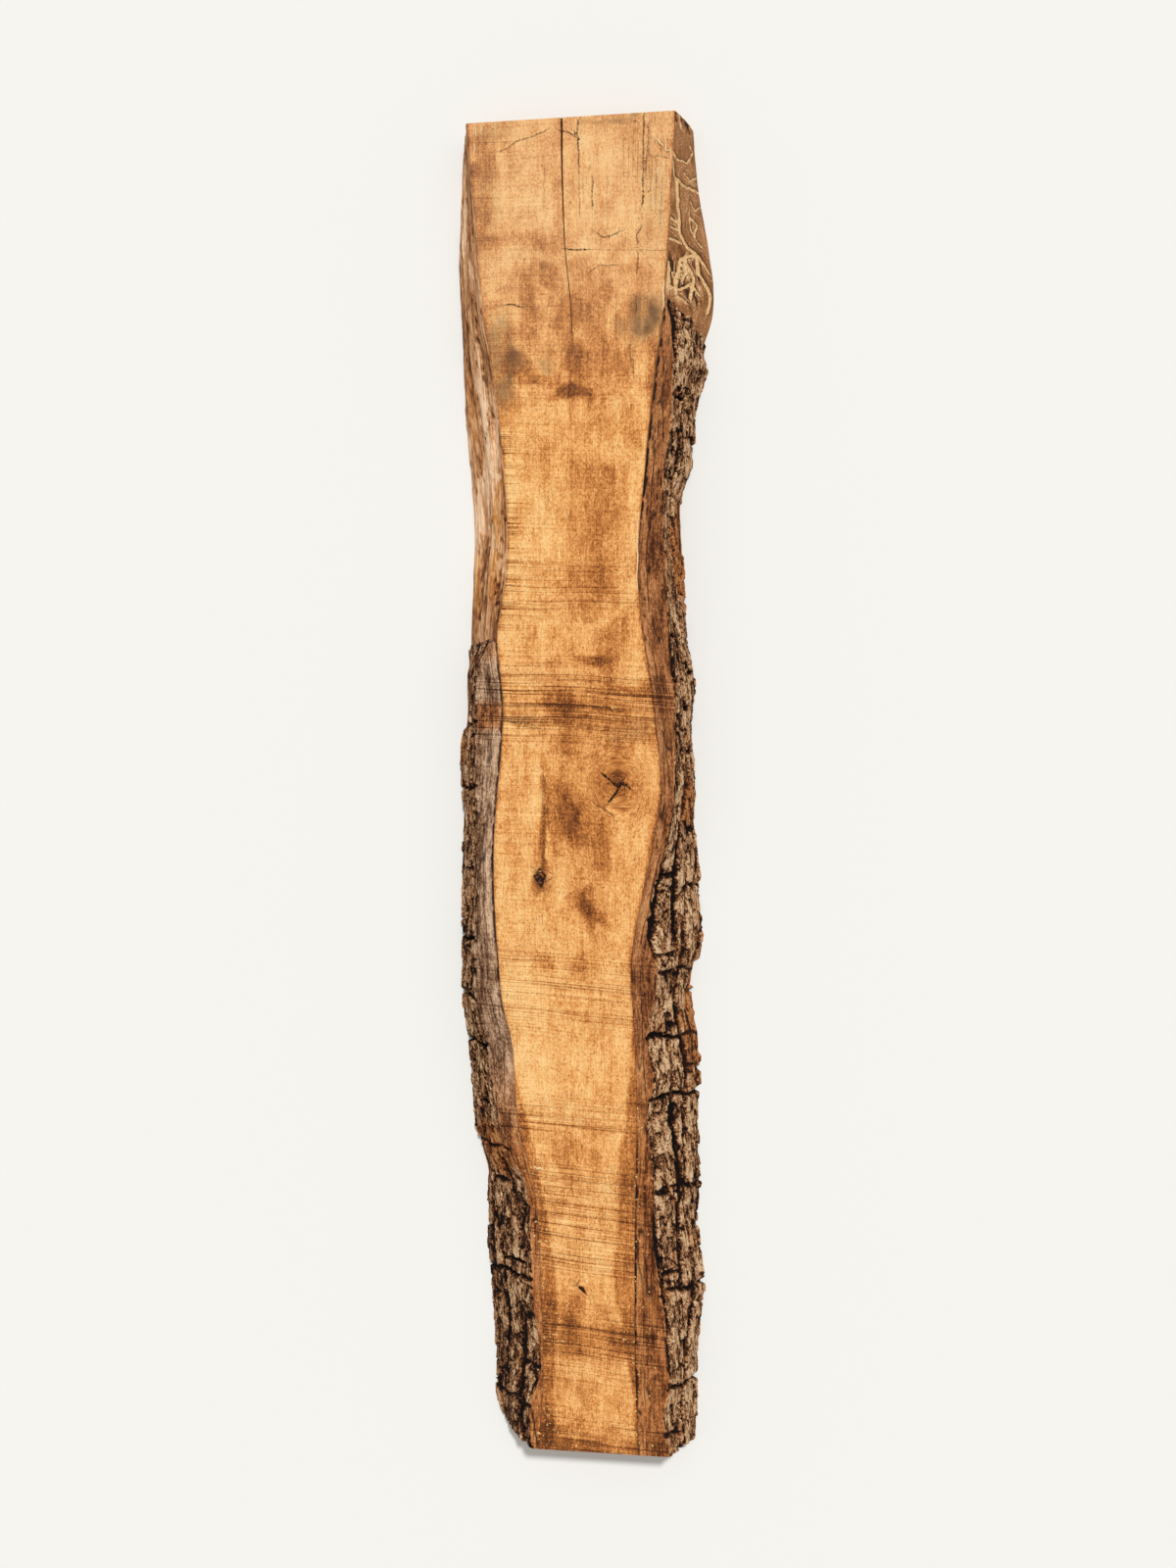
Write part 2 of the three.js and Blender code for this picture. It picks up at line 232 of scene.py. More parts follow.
# Dark lines on the face, as (half width, strength, points): cracks, mineral streaks, trails and a saw stop
DARK_LINES = [
    (1.7, 1.6, [(36, 16), (49, 5), (57, -4), (68, 3), (81, -8)]),
    (1.9, 1.8, [(68, 3), (60, -12), (49, -27)]),
    (1.8, 1.4, [(-67, -139), (-77, -152), (-66, -169), (-58, -152), (-67, -139)]),
    (2.6, 1.6, [(-70, -148), (-63, -156)]), (1.4, 0.9, [(-4, 1084), (-6, 1066), (-4, 1042), (-3, 1010)]),
    (1.0, 0.5, [(-3, 1010), (-2, 930)]), (1.5, 0.7, [(20, 984), (18, 966), (20, 944)]),
    (1.6, 0.8, [(104, 1088), (102, 1040), (103, 1000)]), (1.7, 0.8, [(103, 1000), (101, 980), (102, 946)]),
    (2.8, 0.5, [(-61, 10), (-62, -40), (-61, -100), (-63, -138)]), (1.2, 0.7, [(94, 862), (93, 832)]),
    (1.3, 0.7, [(97, 902), (92, 894), (93, 880)]), (1.2, 0.6, [(91, 792), (91, 770)]),
    (1.4, 0.7, [(81, 714), (82, 683)]), (1.2, 0.7, [(86, 690), (86, 662)]),
    (1.2, 0.65, [(-133, 1043), (-122, 1046), (-104, 1058), (-85, 1062), (-59, 1071)]),
    (1.2, 1.0, [(-32, 1071), (-18, 1066), (-4, 1056)]),
    (1.3, 0.75, [(26, 899), (36, 892), (48, 893), (63, 900)]),
    (1.2, 0.9, [(-124, 789), (-110, 789), (-97, 783)]), (1.0, 0.6, [(15, 837), (30, 846), (58, 846)]),
    (0.9, 0.35, [(-118, 879), (-62, 876)]), (1.3, 1.0, [(-22, 875), (14, 873)]),
    (0.8, 0.4, [(14, 873), (140, 866)]), (1.2, 0.8, [(-124, 103), (-100, 99), (-84, 100)]),
    (1.2, 0.7, [(25, -33), (52, -52)]), (2.6, 1.5, [(-1, -824), (4, -827)]),
    (1.5, 1.0, [(6, -830), (9, -834)]), (1.2, 0.6, [(-4, -820), (-9, -816)]),
    (1.4, 0.5, [(112, 1018), (130, 1020), (146, 1014)]),
    (0.9, 0.4, [(112, 1080), (111, 1030), (113, 965)]), (0.9, 0.4, [(124, 1006), (122, 930)]),
    (0.8, 0.35, [(86, 1080), (85, 990)]), (0.8, 0.35, [(70, 1060), (71, 965)]),
    (0.8, 0.35, [(-60, 1010), (-62, 945)]), (0.8, 0.3, [(44, 990), (43, 905)]),
    (0.9, 0.4, [(133, 985), (131, 900)]), (0.8, 0.35, [(58, 800), (57, 735)]),
    (1.4, 0.6, [(-106, 95), (-70, 92)]),
]
# Beetle galleries in the bare right edge, as (half width, points), each point (y, share round the edge)
GALLERIES = [
    (3.2, [(985, 0.16), (932, 0.22), (899, 0.24), (880, 0.4), (873, 0.66), (852, 0.9)]),
    (4.2, [(868, 0.6), (842, 0.62), (826, 0.84), (812, 0.92), (785, 0.85)]),
    (2.4, [(1032, 0.0), (1010, 0.02), (988, 0.1), (981, 0.36), (987, 0.98)]),
    (2.2, [(1026, 0.0), (1019, 0.18), (1024, 0.55), (1052, 0.9), (1058, 0.69)]),
    (2.8, [(873, 0.54), (858, 0.26), (840, 0.21), (817, 0.2)]),
    (3.0, [(849, 0.4), (835, 0.51), (799, 0.46)]), (2.2, [(919, 0.03), (917, 0.18)]),
    (2.2, [(886, 0.02), (884, 0.22)]), (2.0, [(905, 0.06), (903, 0.2)]),
    (2.2, [(933, 0.52), (926, 0.72), (905, 0.57), (891, 0.78)]),
    (2.0, [(940, 0.48), (912, 0.5), (906, 0.6)]),
    (2.4, [(810, 0.1), (807, 0.26), (821, 0.43), (809, 0.6)]),
    (2.2, [(787, 0.08), (795, 0.23), (789, 0.38)]), (3.0, [(846, 0.03), (820, 0.06), (792, 0.05)]),
    (2.4, [(866, 0.36), (838, 0.34), (824, 0.3)]), (1.8, [(1004, 0.4), (996, 0.62), (1008, 0.86)]),
    (1.8, [(962, 0.55), (950, 0.7), (958, 0.88)]),
]
# Inner edges of the darker sapwood in the near half, as (y, x)
SAPWOOD_LEFT = [
    (-380, -126), (-480, -106), (-560, -86), (-637, -66), (-702, -54), (-784, -41), (-878, -38),
    (-948, -41), (-1092, -45),
]
SAPWOOD_RIGHT = [
    (-330, 88), (-400, 82), (-520, 74), (-599, 63), (-698, 61), (-780, 53), (-880, 64), (-970, 78),
    (-1092, 92),
]
# Freshly peeled orange strips of the bare left edge, as (mm round the edge, y, half girth, half height,
# strength)
PEELED = [
    (11, 440, 9, 62, 0.9), (14, 338, 10, 46, 0.8), (58, 620, 13, 80, 0.5), (44, 900, 11, 90, 0.4),
    (66, 330, 12, 70, 0.7), (26, 560, 7, 60, 0.4), (70, 760, 9, 90, 0.4),
]
# Pale strips peeled to clean wood, brown strips that kept the skin under the bark, and slits, all in the
# same form
PALE_STRIPS = [
    (34, 548, 13, 78, 1.0), (12, 575, 6, 80, 0.8), (7, 322, 6, 52, 1.0), (52, 470, 9, 60, 0.8),
    (18, 800, 8, 90, 0.9), (48, 960, 12, 90, 0.8), (40, 420, 7, 60, 0.7), (30, 690, 5, 80, 0.7),
]
BROWN_STRIPS = [
    (64, 690, 24, 105, 1.0), (46, 330, 26, 62, 0.8), (20, 720, 4, 90, 0.8), (30, 440, 6, 70, 0.8),
    (76, 880, 14, 110, 0.8), (24, 930, 6, 90, 0.8), (62, 500, 5, 60, 0.7),
]
SLITS = [
    (6, 604, 4, 12, 1.0), (25, 606, 4, 20, 1.0), (34, 570, 3, 16, 0.8), (12, 374, 5, 14, 1.0),
    (7, 400, 4, 10, 1.0), (18, 344, 5, 14, 0.8), (6, 430, 4, 9, 0.9), (14, 318, 5, 12, 0.8),
    (10, 296, 4, 10, 0.8),
]
# Flames of the figure, darker or, below 0, paler, as (x, y, half width, half height, strength)
FLAMES = [
    (-33, -64, 26, 52, 1.0), (-46, -128, 10, 34, 0.9), (-20, 48, 20, 26, 0.8), (41, -115, 15, 62, 0.9),
    (-4, -208, 32, 24, 0.9), (-17, 118, 34, 32, 0.8), (-29, -660, 13, 52, 1.0), (4, -600, 32, 15, 0.9),
    (-24, -850, 36, 26, 0.9), (36, -720, 12, 40, 0.8), (10, 300, 30, 40, 0.8), (40, 200, 16, 60, 0.8),
    (82, -128, 20, 84, -1.0), (-70, 30, 16, 60, -0.9), (12, -700, 14, 40, -0.9), (10, -1000, 26, 40, 0.8),
]
# Lightness of the face along the slab, as (y, tone)
FACE_TONE = [
    (1092, 0.66), (930, 0.7), (872, 0.64), (800, 0.6), (660, 0.6), (560, 0.68), (400, 0.7), (250, 0.68),
    (200, 0.64), (130, 0.58), (40, 0.64), (-80, 0.66), (-260, 0.71), (-400, 0.7), (-520, 0.69),
    (-640, 0.69), (-780, 0.73), (-905, 0.58), (-980, 0.66), (-1040, 0.58), (-1092, 0.52),
]
# Stretches of the face where the saw marks are strong, as (y, half height, strength), and the lean of the
# marks along the slab, as (y, slope)
ROUGH_SAWING = [
    (310, 60, 0.35), (135, 60, 1.0), (-340, 55, 0.7), (-545, 25, 0.8), (-660, 30, 1.0), (-750, 50, 1.0),
    (-915, 55, 0.8), (-1074, 34, 0.9),
]
STROKE_LEAN = [
    (1092, 0.02), (300, 0.05), (120, 0.06), (-330, 0.07), (-545, 0.06), (-655, 0.11), (-750, 0.12),
    (-900, 0.09), (-1092, 0.04),
]


def sawing(y):
    """How rough the sawing is at y: the sum of the rough stretches, each fading out at both ends."""
    return sum(strength * ease(1.5, 0.4, np.abs(y - at) / half) for at, half, strength in ROUGH_SAWING)


def stroke_place(x, y):
    """Place of a point counted in mm across the strokes of the blade, which lean and wander a little."""
    return y + curve_through(STROKE_LEAN)(y) * x + 5 * noise(x / 120, y / 200, 43, 2)


def shaded(x, y, spots, seed):
    """Sum of soft spots, each a rounded hill over an ellipse whose outline is pushed about by noise."""
    u, v = x + 0.6 * y, y - 0.6 * x
    moved_x = x + 16 * noise(u / 56, v / 64, seed) + 5 * noise(u / 18, v / 22, seed + 1)
    moved_y = y + 24 * noise(u / 60, v / 70, seed + 2) + 7 * noise(u / 19, v / 25, seed + 3)
    total = np.zeros_like(x)
    for at_x, at_y, half_x, half_y, strength in spots:
        total += strength * ease(1.35, 0.5, np.hypot((moved_x - at_x) / half_x, (moved_y - at_y) / half_y))
    return total


def torn_edge(girth, y):
    """Bare left edge, torn along the grain as the bark came off. Gives how far each point stands out in mm,
    its tone, how orange it is, and its place round the log, which sways so that the fibres wave."""
    swayed = girth + 5 * noise(y / 170, girth / 60, 7, 2)
    fibres = 1.5 * noise(swayed / 7, y / 160, 8, 3) + 1.1 * noise(swayed / 3.2, y / 60, 9, 2)
    torn = noise(swayed / 13, y / 190, 12, 3)
    chips = noise(swayed / 6, y / 16, 13, 3)
    strips = 1.8 * (ease(-0.3, -0.24, torn) + ease(-0.03, 0.03, torn) + ease(0.26, 0.32, torn)) - 2.7
    frayed = 0.16 * noise(swayed / 3.4, y / 55, 28, 2)
    pale = ease(0.38, 0.48, shaded(swayed, y, PALE_STRIPS, 51) + frayed)
    brown = ease(0.38, 0.48, shaded(swayed, y, BROWN_STRIPS, 55) + frayed) * (1 - pale)
    splintered = 0.7 + 1.4 * noise((girth + 0.15 * y) / 4, y / 7, 29, 2)
    slits = ease(0.3, 0.7, shaded(girth, y, SLITS, 59) * splintered)
    stands_out = fibres * (1 - 0.5 * pale) + strips + (0.5 + 0.8 * brown) * chips - 1.1 * pale
    stands_out = stands_out + 0.9 * brown - 2.4 * slits

    step_edge = np.minimum(np.minimum(np.abs(torn + 0.27), np.abs(torn)), np.abs(torn - 0.29))
    # painted shade along the bare edge where it meets the sawn face
    shade_beside_face = ease(16, 4, girth) * (0.7 + 0.6 * noise(girth / 9, y / 40, 24))
    tone = 0.65 + 0.1 * fibres + (0.08 + 0.16 * brown) * chips + 0.04 * strips - 0.07 * shade_beside_face
    # painted shade along the steps between the torn strips
    tone = tone - 0.25 * ease(0.05, 0.0, step_edge) * (1 - 0.6 * pale)
    # the sunk slits are painted dark as their shade; the pale and brown strips are the wood's own colour
    tone = tone + 0.15 * pale - 0.12 * brown - 0.36 * slits
    tone = tone + 0.2 * noise(girth / 20, y / 110, 22)
    tone = tone - 0.19 * ease(380, 280, y) - 0.08 * ease(820, 960, y)
    tone = tone - 0.11 * ease(625, 690, y) * ease(880, 800, y)
    orange = shaded(swayed, y, PEELED, 27) * (1 - 0.8 * pale)
    return stands_out, tone, orange, swayed


def bored_edge(girth, y, inside):
    """Bare right edge, bored by beetles under the bark, chewed to strands where the bark begins and crumbling
    at the far corner. Gives how far each point stands out in mm, its tone, and its offset from the nearest
    gallery. inside fades to 0 at both ends of the slab."""
    galleries = [(half, 1.0, [(share * EDGE_GIRTH, at) for at, share in places])
                 for half, places in GALLERIES]
    bored, _ = offset_from_lines(girth + 2 * noise(y / 9, girth / 9, 14, 2),
                                 y + 2 * noise(girth / 8, y / 11, 15, 2), galleries)
    groove = ease(1.25, 0.55, np.abs(bored))
    lumps = 0.9 * noise(girth / 9, y / 30, 16, 3)
    strands = noise((girth + 0.2 * y) / 4.2, y / 24, 17, 3)
    chewed = ease(1.3, 0.7, np.hypot((girth - 26) / 34, (y - 826) / 42) + 0.3 * strands)
    crumbs = noise(girth / 5, y / 8, 18, 3)
    crumbled = ease(1064, 1078, y + 10 * noise(girth / 12, y / 12, 19, 2)) * ease(74, 56, girth)
    stands_out = lumps - 2.6 * groove + 1.6 * chewed * strands + crumbled * (2.4 * crumbs - 1.2) * inside
    tone = 0.5 + 0.1 * lumps + 0.14 * noise(girth / 16, y / 30, 23)
    tone = tone + chewed * (1.25 * strands - 0.02) + crumbled * (1.0 * crumbs - 0.08)
    return stands_out, tone, bored


def knotted_grain(x, y):
    """The grain pushed aside by the knots and turned into rings inside them, as a new x for every point, and
    how dark the knots are."""
    flow_x, knotted = x.copy(), np.zeros_like(x)
    bent_x = x + 5 * noise(x / 24, y / 24, 41, 2)
    bent_y = y + 6 * noise(x / 22, y / 28, 42, 2)
    for at_x, at_y, radius, darkness in KNOTS:
        away = np.hypot(bent_x - at_x, (bent_y - at_y) * 0.85)
        core = 1.3 * radius
        pushed = (x - at_x) * core ** 2 / np.maximum(away, core) ** 2
        flow_x -= np.where(away < core, x - at_x - (core - away), pushed)
        uneven = away / radius + 0.3 * noise(x / 9, y / 9, 37)
        knotted = np.maximum(knotted, darkness * ease(1.0, 0.5, uneven))
    return flow_x, knotted


def face_look(x, y, from_left, from_right, front, knotted):
    """Tone of the sawn faces, and how grey the front one is: cloudy wood with darker sapwood, flames of the
    figure and stains. from_left and from_right are mm from the edges of the front face."""
    ripple = 6 * noise(y / 40, x / 60, 33, 2)
    sap = ease(-2, 5, curve_through(SAPWOOD_LEFT)(y) + ripple - x) * ease(-380, -480, y)
    sap_right = ease(-3, 6, x - curve_through(SAPWOOD_RIGHT)(y) + ripple) * ease(-330, -420, y)
    sap = np.maximum(sap, sap_right)
    cloud = noise(x / 30, y / 46, 34, 5)
    mottle = noise((x + 9 * cloud) / 13, (y + 14 * cloud) / 24, 38, 4)
    across = from_left / (from_left + from_right)
    centre = ease(0.42, 0.1, np.abs(across - 0.6)) * ease(700, 560, np.abs(y - 100))
    brown = shaded(x, y, BROWN_STAINS, 35) * (1 + 0.6 * mottle)
    figure = shaded(x, y, FLAMES, 63) * (1 + 0.5 * mottle)
    flames = 0.1 * ease(0.36, 0.46, figure) - 0.05 * ease(0.36, 0.5, -figure)
    far = ease(500, 800, y)
    tone = curve_through(FACE_TONE)(y) + (0.14 + 0.08 * far) * cloud + (0.15 + 0.07 * far) * mottle
    tone = tone - 0.05 * centre
    tone = tone + 0.1 * noise(x / 13, y / 300, 45, 3) * ease(400, 700, y)
    lit = ease(0.5, 0.25, across) * ease(650, 500, np.abs(y + 80)) + ease(160, 60, np.abs(y + 430))
    tone = tone + 0.05 * lit - flames * front
    stained = 0.36 * np.clip(brown, 0, 1.2) * (1 - 0.6 * sap) + 0.28 * sap + 0.3 * knotted
    tone = tone - front * stained
    at_edge = ease(6, 0, np.minimum(from_left, from_right))
    tone = tone - 0.2 * front * at_edge * ease(-440, -380, y)
    grey = shaded(x, y, GREY_STAINS, 36) * (0.8 + 0.7 * mottle) * front
    return tone, grey


def wood_slab(materials):
    """The wood as rings round the slab, one after another along the grain. Each ring crosses the front
    face, turns down the right edge, returns across the back and climbs the left edge. Rings lean as
    the saw marks do, so a row of points is one stroke of the blade, and three columns follow the check."""
    rows, left_columns, right_columns, right_edge, back_columns, left_edge = 650, 32, 36, 32, 7, 38
    row = np.linspace(LENGTH / 2, -LENGTH / 2, rows + 1)[:, None]
    lean = SAW_LEAN * ease(0, 90, LENGTH / 2 - np.abs(row))
    left = rounded_edge(LEFT_WOOD_FRONT, LEFT_WOOD_BACK)
    right = rounded_edge(RIGHT_WOOD_FRONT, RIGHT_WOOD_BACK)

    def on_edge(edge, s):
        x = edge(row + 0 * s, s)
        for _ in range(3):
            x = edge(row - lean * x, s)
        return x

    at_left, at_right = on_edge(left, np.zeros((1, 1))), on_edge(right, np.zeros((1, 1)))
    at_check = curve_through(CHECK_LINE)(row)
    open_share = np.clip((row - CHECK_ENDS) / (LENGTH / 2 - CHECK_ENDS), 0, 1)
    mouth = np.maximum(0.5 * CHECK_WIDTH * open_share, 0.8)
    to_check, to_right = np.linspace(0, 1, left_columns + 1), np.linspace(0, 1, right_columns + 1)
    brim = mouth + 1.6
    front_x = np.concatenate([
        at_left + (at_check - brim - at_left) * to_check, at_check - mouth, at_check, at_check + mouth,
        at_check + brim + (at_right - at_check - brim) * to_right], axis=1)
    right_s = np.linspace(0, 1, right_edge + 1)[None, 1:]
    left_s = np.linspace(1, 0, left_edge + 1)[None, 1:-1]
    right_x, left_x = on_edge(right, right_s), on_edge(left, left_s)
    back_left = on_edge(left, np.ones((1, 1)))
    back_x = right_x[:, -1:] + (back_left - right_x[:, -1:]) * np.linspace(0, 1, back_columns + 1)[None, 1:]
    x = np.concatenate([front_x, right_x, back_x, left_x], axis=1)
    y = row - lean * x
    fronts, rights = front_x.shape[1], right_x.shape[1]
    backs, lefts = back_x.shape[1], left_x.shape[1]
    region = np.repeat([0, 1, 2, 3], [fronts, rights, backs, lefts])
    depth = np.concatenate([np.zeros(fronts), right_s[0], np.ones(backs), left_s[0]])[None, :] + 0 * x
    front, on_right, on_back, on_left = [region == k for k in range(4)]

    # relief: strokes of the blade, the check, fibres of the bare left edge and galleries of the right one
    rough = sawing(row)
    stroke = np.sin(2 * np.pi * row / SAW_PITCH + 2.5 * noise(x / 160, row / 60, 41))
    sawn = (0.12 + 0.5 * rough) * stroke + 0.2 * noise(x / 90, row / 4, 42, 2)
    inside = ease(0, 6, LENGTH / 2 - np.abs(row))
    lift = np.where(front, sawn * inside - 0.6, 0)
    check_column = left_columns + 2
    check_floor = np.minimum(CHECK_DEPTH * open_share[:, 0], 3 + 1.2 * (LENGTH / 2 - row[:, 0]))
    lift[:, check_column] = np.where(row[:, 0] > CHECK_ENDS, -check_floor, lift[:, check_column])
    girth = depth * EDGE_GIRTH
    bare_left = ease(LEFT_BARK_STARTS + 4, LEFT_BARK_STARTS + 40, y) * on_left
    bark_from = RIGHT_BARK_STARTS[0] + (RIGHT_BARK_STARTS[1] - RIGHT_BARK_STARTS[0]) * depth
    bare_right = ease(bark_from + 4, bark_from + 40, y) * on_right
    left_swell, left_tone, orange, swayed = torn_edge(girth, y)
    right_swell, right_tone, bored = bored_edge(girth, y, inside)
    swell = bare_left * left_swell + bare_right * right_swell
    lateral = np.abs(np.where(on_right, right(y, 1.0) - right(y, 0.0), left(y, 1.0) - left(y, 0.0)))
    slope = np.arctan2(lateral, THICK)
    keep_flat = np.clip(12 * depth * (1 - depth), 0, 1)
    out = np.where(on_right, 1, -1)
    moved_x = x + out * swell * np.cos(slope) * np.clip(8 * depth, 0, 1)
    z = THICK * (1 - depth) + lift + swell * np.sin(slope) * keep_flat
    frayed = 1.1 * noise(y / 14, 0 * y + 3, 21, 3) * inside
    moved_x[:, 0] += frayed[:, 0]
    moved_x[:, fronts - 1] += frayed[:, fronts - 1]
    points = np.stack([moved_x, y, np.clip(z, 0, THICK)], axis=-1).reshape(-1, 3)

    # tone of the faces and edges, the dark lines and the roughness of the sawing
    flow_x, knotted = knotted_grain(x, y)
    face_tone, grey = face_look(x, y, x - at_left, at_right - x, front, knotted)
    face_tone = face_tone - 0.1 * on_back
    tone = np.where(on_left, left_tone, np.where(on_right, right_tone, face_tone))
    from_line, line_strength = offset_from_lines(
        x + 1.2 * noise(x / 9, y / 9, 31, 2), y + 1.2 * noise(x / 9, y / 9, 32, 2), DARK_LINES)
    line = np.where(front, from_line, bored)
    near = ease(9, 6, np.abs(line)) * np.where(front, line_strength, bare_right)
    in_check = np.zeros_like(x)
    in_check[:, check_column] = ease(0, 0.12, open_share[:, 0])
    ticks = ease(30, 8, x - at_left) * ease(190, 150, np.abs(y - 420))
    across = (x - at_left) / (at_right - at_left)
    rough_here = np.clip(0.06 + 0.34 * rough + 0.24 * ticks + 0.06 * ease(0.5, 0.2, across), 0, 0.5)
    pale = 0.3 * ease(560, 900, y) * (0.5 + 0.5 * ease(0.36, 0.66, face_tone))
    porous = 0.15 + 0.85 * ease(-0.1, 0.4, noise(x / 22, y / 60, 44, 3))
    fields = {
        "flow": np.stack([flow_x, y, stroke_place(x, y)], axis=-1),
        "girth": np.stack([swayed, y, 0 * x], axis=-1),
        "tone": tone, "grey": np.clip(grey, 0, 0.9), "line": line, "line_near": near,
        "in_check": in_check, "rough": rough_here, "pale": pale, "porous": porous,
        "warm": np.clip(orange * on_left, 0, 1),
    }
    quads, caps = ring_faces(rows + 1, x.shape[1])
    column_slot = np.select([front, on_right, on_back], [0, 1, 0], 2)
    column_slot[[fronts - 1, fronts + rights - 1]] = [1, 0]
    column_slot[fronts + rights + backs - 1] = 2
    slots = np.concatenate([np.tile(column_slot, rows), [3, 3]])
    return mesh_object("wood_slab", points, quads, caps, materials, slots, fields)


def to_linear(hex_colour):
    """Linear RGBA of an sRGB hex colour."""
    channels = [int(hex_colour[i:i + 2], 16) / 255 for i in (1, 3, 5)]
    return [c / 12.92 if c <= 0.04045 else ((c + 0.055) / 1.055) ** 2.4 for c in channels] + [1.0]


def node(tree, kind, links=None, output=0, stops=None, **settings):
    """Adds a shader node with its settings and returns one of its outputs. links gives each input a value or
    another node's output, and stops gives a colour ramp its places and hex colours."""
    made = tree.nodes.new("ShaderNode" + kind)
    for name, value in settings.items():
        setattr(made, name, value)
    for socket, value in (links or {}).items():
        if isinstance(value, bpy.types.NodeSocket):
            tree.links.new(value, made.inputs[socket])
        else:
            made.inputs[socket].default_value = value
    if stops:
        elements = made.color_ramp.elements
        while len(elements) < len(stops):
            elements.new(0.5)
        for element, (place, colour) in zip(elements, stops):
            element.position = place
            element.color = to_linear(colour)
    return made.outputs[output]


def dry_surface(name, roughness):
    """New material with a matt, dry Principled surface; returns it with its node tree and shader."""
    material = bpy.data.materials.new(name)
    material.use_nodes = True
    shader = material.node_tree.nodes["Principled BSDF"]
    shader.inputs["Roughness"].default_value = roughness
    shader.inputs["Specular IOR Level"].default_value = 0.2
    return material, material.node_tree, shader


# Size of a pattern, in mm, in a direction along which it hardly changes
EVEN = 9e3


def grained(tree, vector, patterns, apart, tone, **look):
    """Noise laid on a vector field in stretched patterns. A pattern is its sizes in mm along the three axes
    of the field, 0 for no change that way, and its strength in the tone, 0 if it is only looked up by name.
    Returns the patterns by name, the tone with the patterns added about their middle, and their sum alone."""
    made, relief = {}, 0.0
    middle = 0.5 * sum(pattern[-1] for pattern in patterns.values())
    tone = node(tree, "Math", {0: tone, 1: middle}, operation="SUBTRACT")
    for seed, (name, (*sizes, strength)) in enumerate(patterns.items()):
        scale = [1 / size if size else 0.0 for size in sizes]
        placed = node(tree, "Mapping", {"Vector": vector, "Scale": scale,
                                        "Location": [seed * step for step in apart]})
        made[name] = node(tree, "TexNoise", {"Vector": placed, "Scale": 1.0, **look})
        if strength:
            tone = node(tree, "Math", {0: made[name], 1: strength, 2: tone}, operation="MULTIPLY_ADD")
            relief = node(tree, "Math", {0: made[name], 1: strength, 2: relief}, operation="MULTIPLY_ADD")
    return made, tone, relief


def bandsawn_pecan():
    """Rough bandsawn pecan, dry and unfinished, so matt: honey heartwood in long grain, crossed by strokes of
    the blade, speckled with pores and grit, and stained brown and grey as it dried."""
    material, tree, shader = dry_surface("bandsawn_pecan", 0.86)
    flow = node(tree, "Attribute", output=1, attribute_name="flow")
    field = {name: node(tree, "Attribute", output=2, attribute_name=name)
             for name in ("tone", "grey", "line", "line_near", "in_check", "rough", "pale", "porous")}
    # each pattern is (mm across the grain, mm along it, mm between saw strokes, strength)
    made, tone, height = grained(tree, flow, {
        "grain": (1.8, 40, EVEN, 0.55), "bands": (9, 220, EVEN, 0.3), "grit": (2.6, 4, EVEN, 1.05),
        "strokes": (120, EVEN, 2.6, 0), "cuts": (300, EVEN, 1.8, 0), "pores": (1.8, 15, EVEN, 0),
        "specks": (3, 4, EVEN, 0)}, (7.3, 3.1, 1.7), field["tone"], Detail=3.0, Roughness=0.6, Distortion=0.4)

    # strokes of the blade, and thin dark cuts left by single teeth where the sawing is rough
    stroke = node(tree, "MapRange", {0: made["strokes"], 1: 0.3, 2: 0.7, 3: 0.4, 4: -0.4})
    cut = node(tree, "MapRange", {0: made["cuts"], 1: 0.55, 2: 0.64, 3: 0.0, 4: 1.0})
    sawn = node(tree, "Math", {0: stroke, 1: cut}, operation="ADD")
    sawn = node(tree, "Math", {0: sawn, 1: field["rough"]}, operation="MULTIPLY")
    tone = node(tree, "Math", {0: tone, 1: sawn}, operation="SUBTRACT")
    height = node(tree, "Math", {0: height, 1: sawn}, operation="SUBTRACT")
    colour = node(tree, "ValToRGB", {0: tone}, stops=[
        (0.08, "#5c3014"), (0.24, "#935427"), (0.4, "#bb7336"), (0.55, "#dd9350"), (0.7, "#f3b36b"),
        (0.92, "#ffd08d")])

    # pale dry wood at the far end, grey stains, open pores and specks of dirt
    pore = node(tree, "MapRange", {0: made["pores"], 1: 0.58, 2: 0.7, 3: 0.0, 4: 0.7})
    pore = node(tree, "Math", {0: pore, 1: field["porous"]}, operation="MULTIPLY")
    speck = node(tree, "MapRange", {0: made["specks"], 1: 0.63, 2: 0.71, 3: 0.0, 4: 0.75})
    laid_over = [(field["pale"], "#e9bd90"), (field["grey"], "#6b4c33"), (pore, "#7f4a22"),
                 (speck, "#54300f")]
    for share, over in laid_over:
        colour = node(tree, "Mix", {0: share, 6: colour, 7: to_linear(over)}, output=2, data_type="RGBA")

    # dark lines, frayed and dotted by the grit, and the shade down in the check
    frayed = node(tree, "Math", {0: made["grit"], 1: 3.0, 2: field["line"]}, operation="MULTIPLY_ADD")
    offset = node(tree, "Math", {0: frayed, 1: 1.5}, operation="SUBTRACT")
    offset = node(tree, "Math", {0: offset}, operation="ABSOLUTE")
    line = node(tree, "MapRange", {0: offset, 1: 0.6, 2: 1.2, 3: 1.0, 4: 0.0})
    dotted = node(tree, "MapRange", {0: made["specks"], 1: 0.4, 2: 0.55, 3: 0.25, 4: 1.0})
    line = node(tree, "Math", {0: line, 1: dotted}, operation="MULTIPLY")
    line = node(tree, "Math", {0: line, 1: field["line_near"]}, operation="MULTIPLY", use_clamp=True)
    line = node(tree, "Math", {0: line, 1: field["in_check"]}, operation="MAXIMUM")
    colour = node(tree, "Mix", {0: line, 6: colour, 7: to_linear("#1f1008")}, output=2, data_type="RGBA")
    tree.links.new(colour, shader.inputs["Base Color"])
    height = node(tree, "Math", {0: height, 1: line}, operation="SUBTRACT")
    bump = node(tree, "Bump", {"Height": height, "Strength": 0.9, "Distance": 0.0013})
    tree.links.new(bump, shader.inputs["Normal"])
    return material


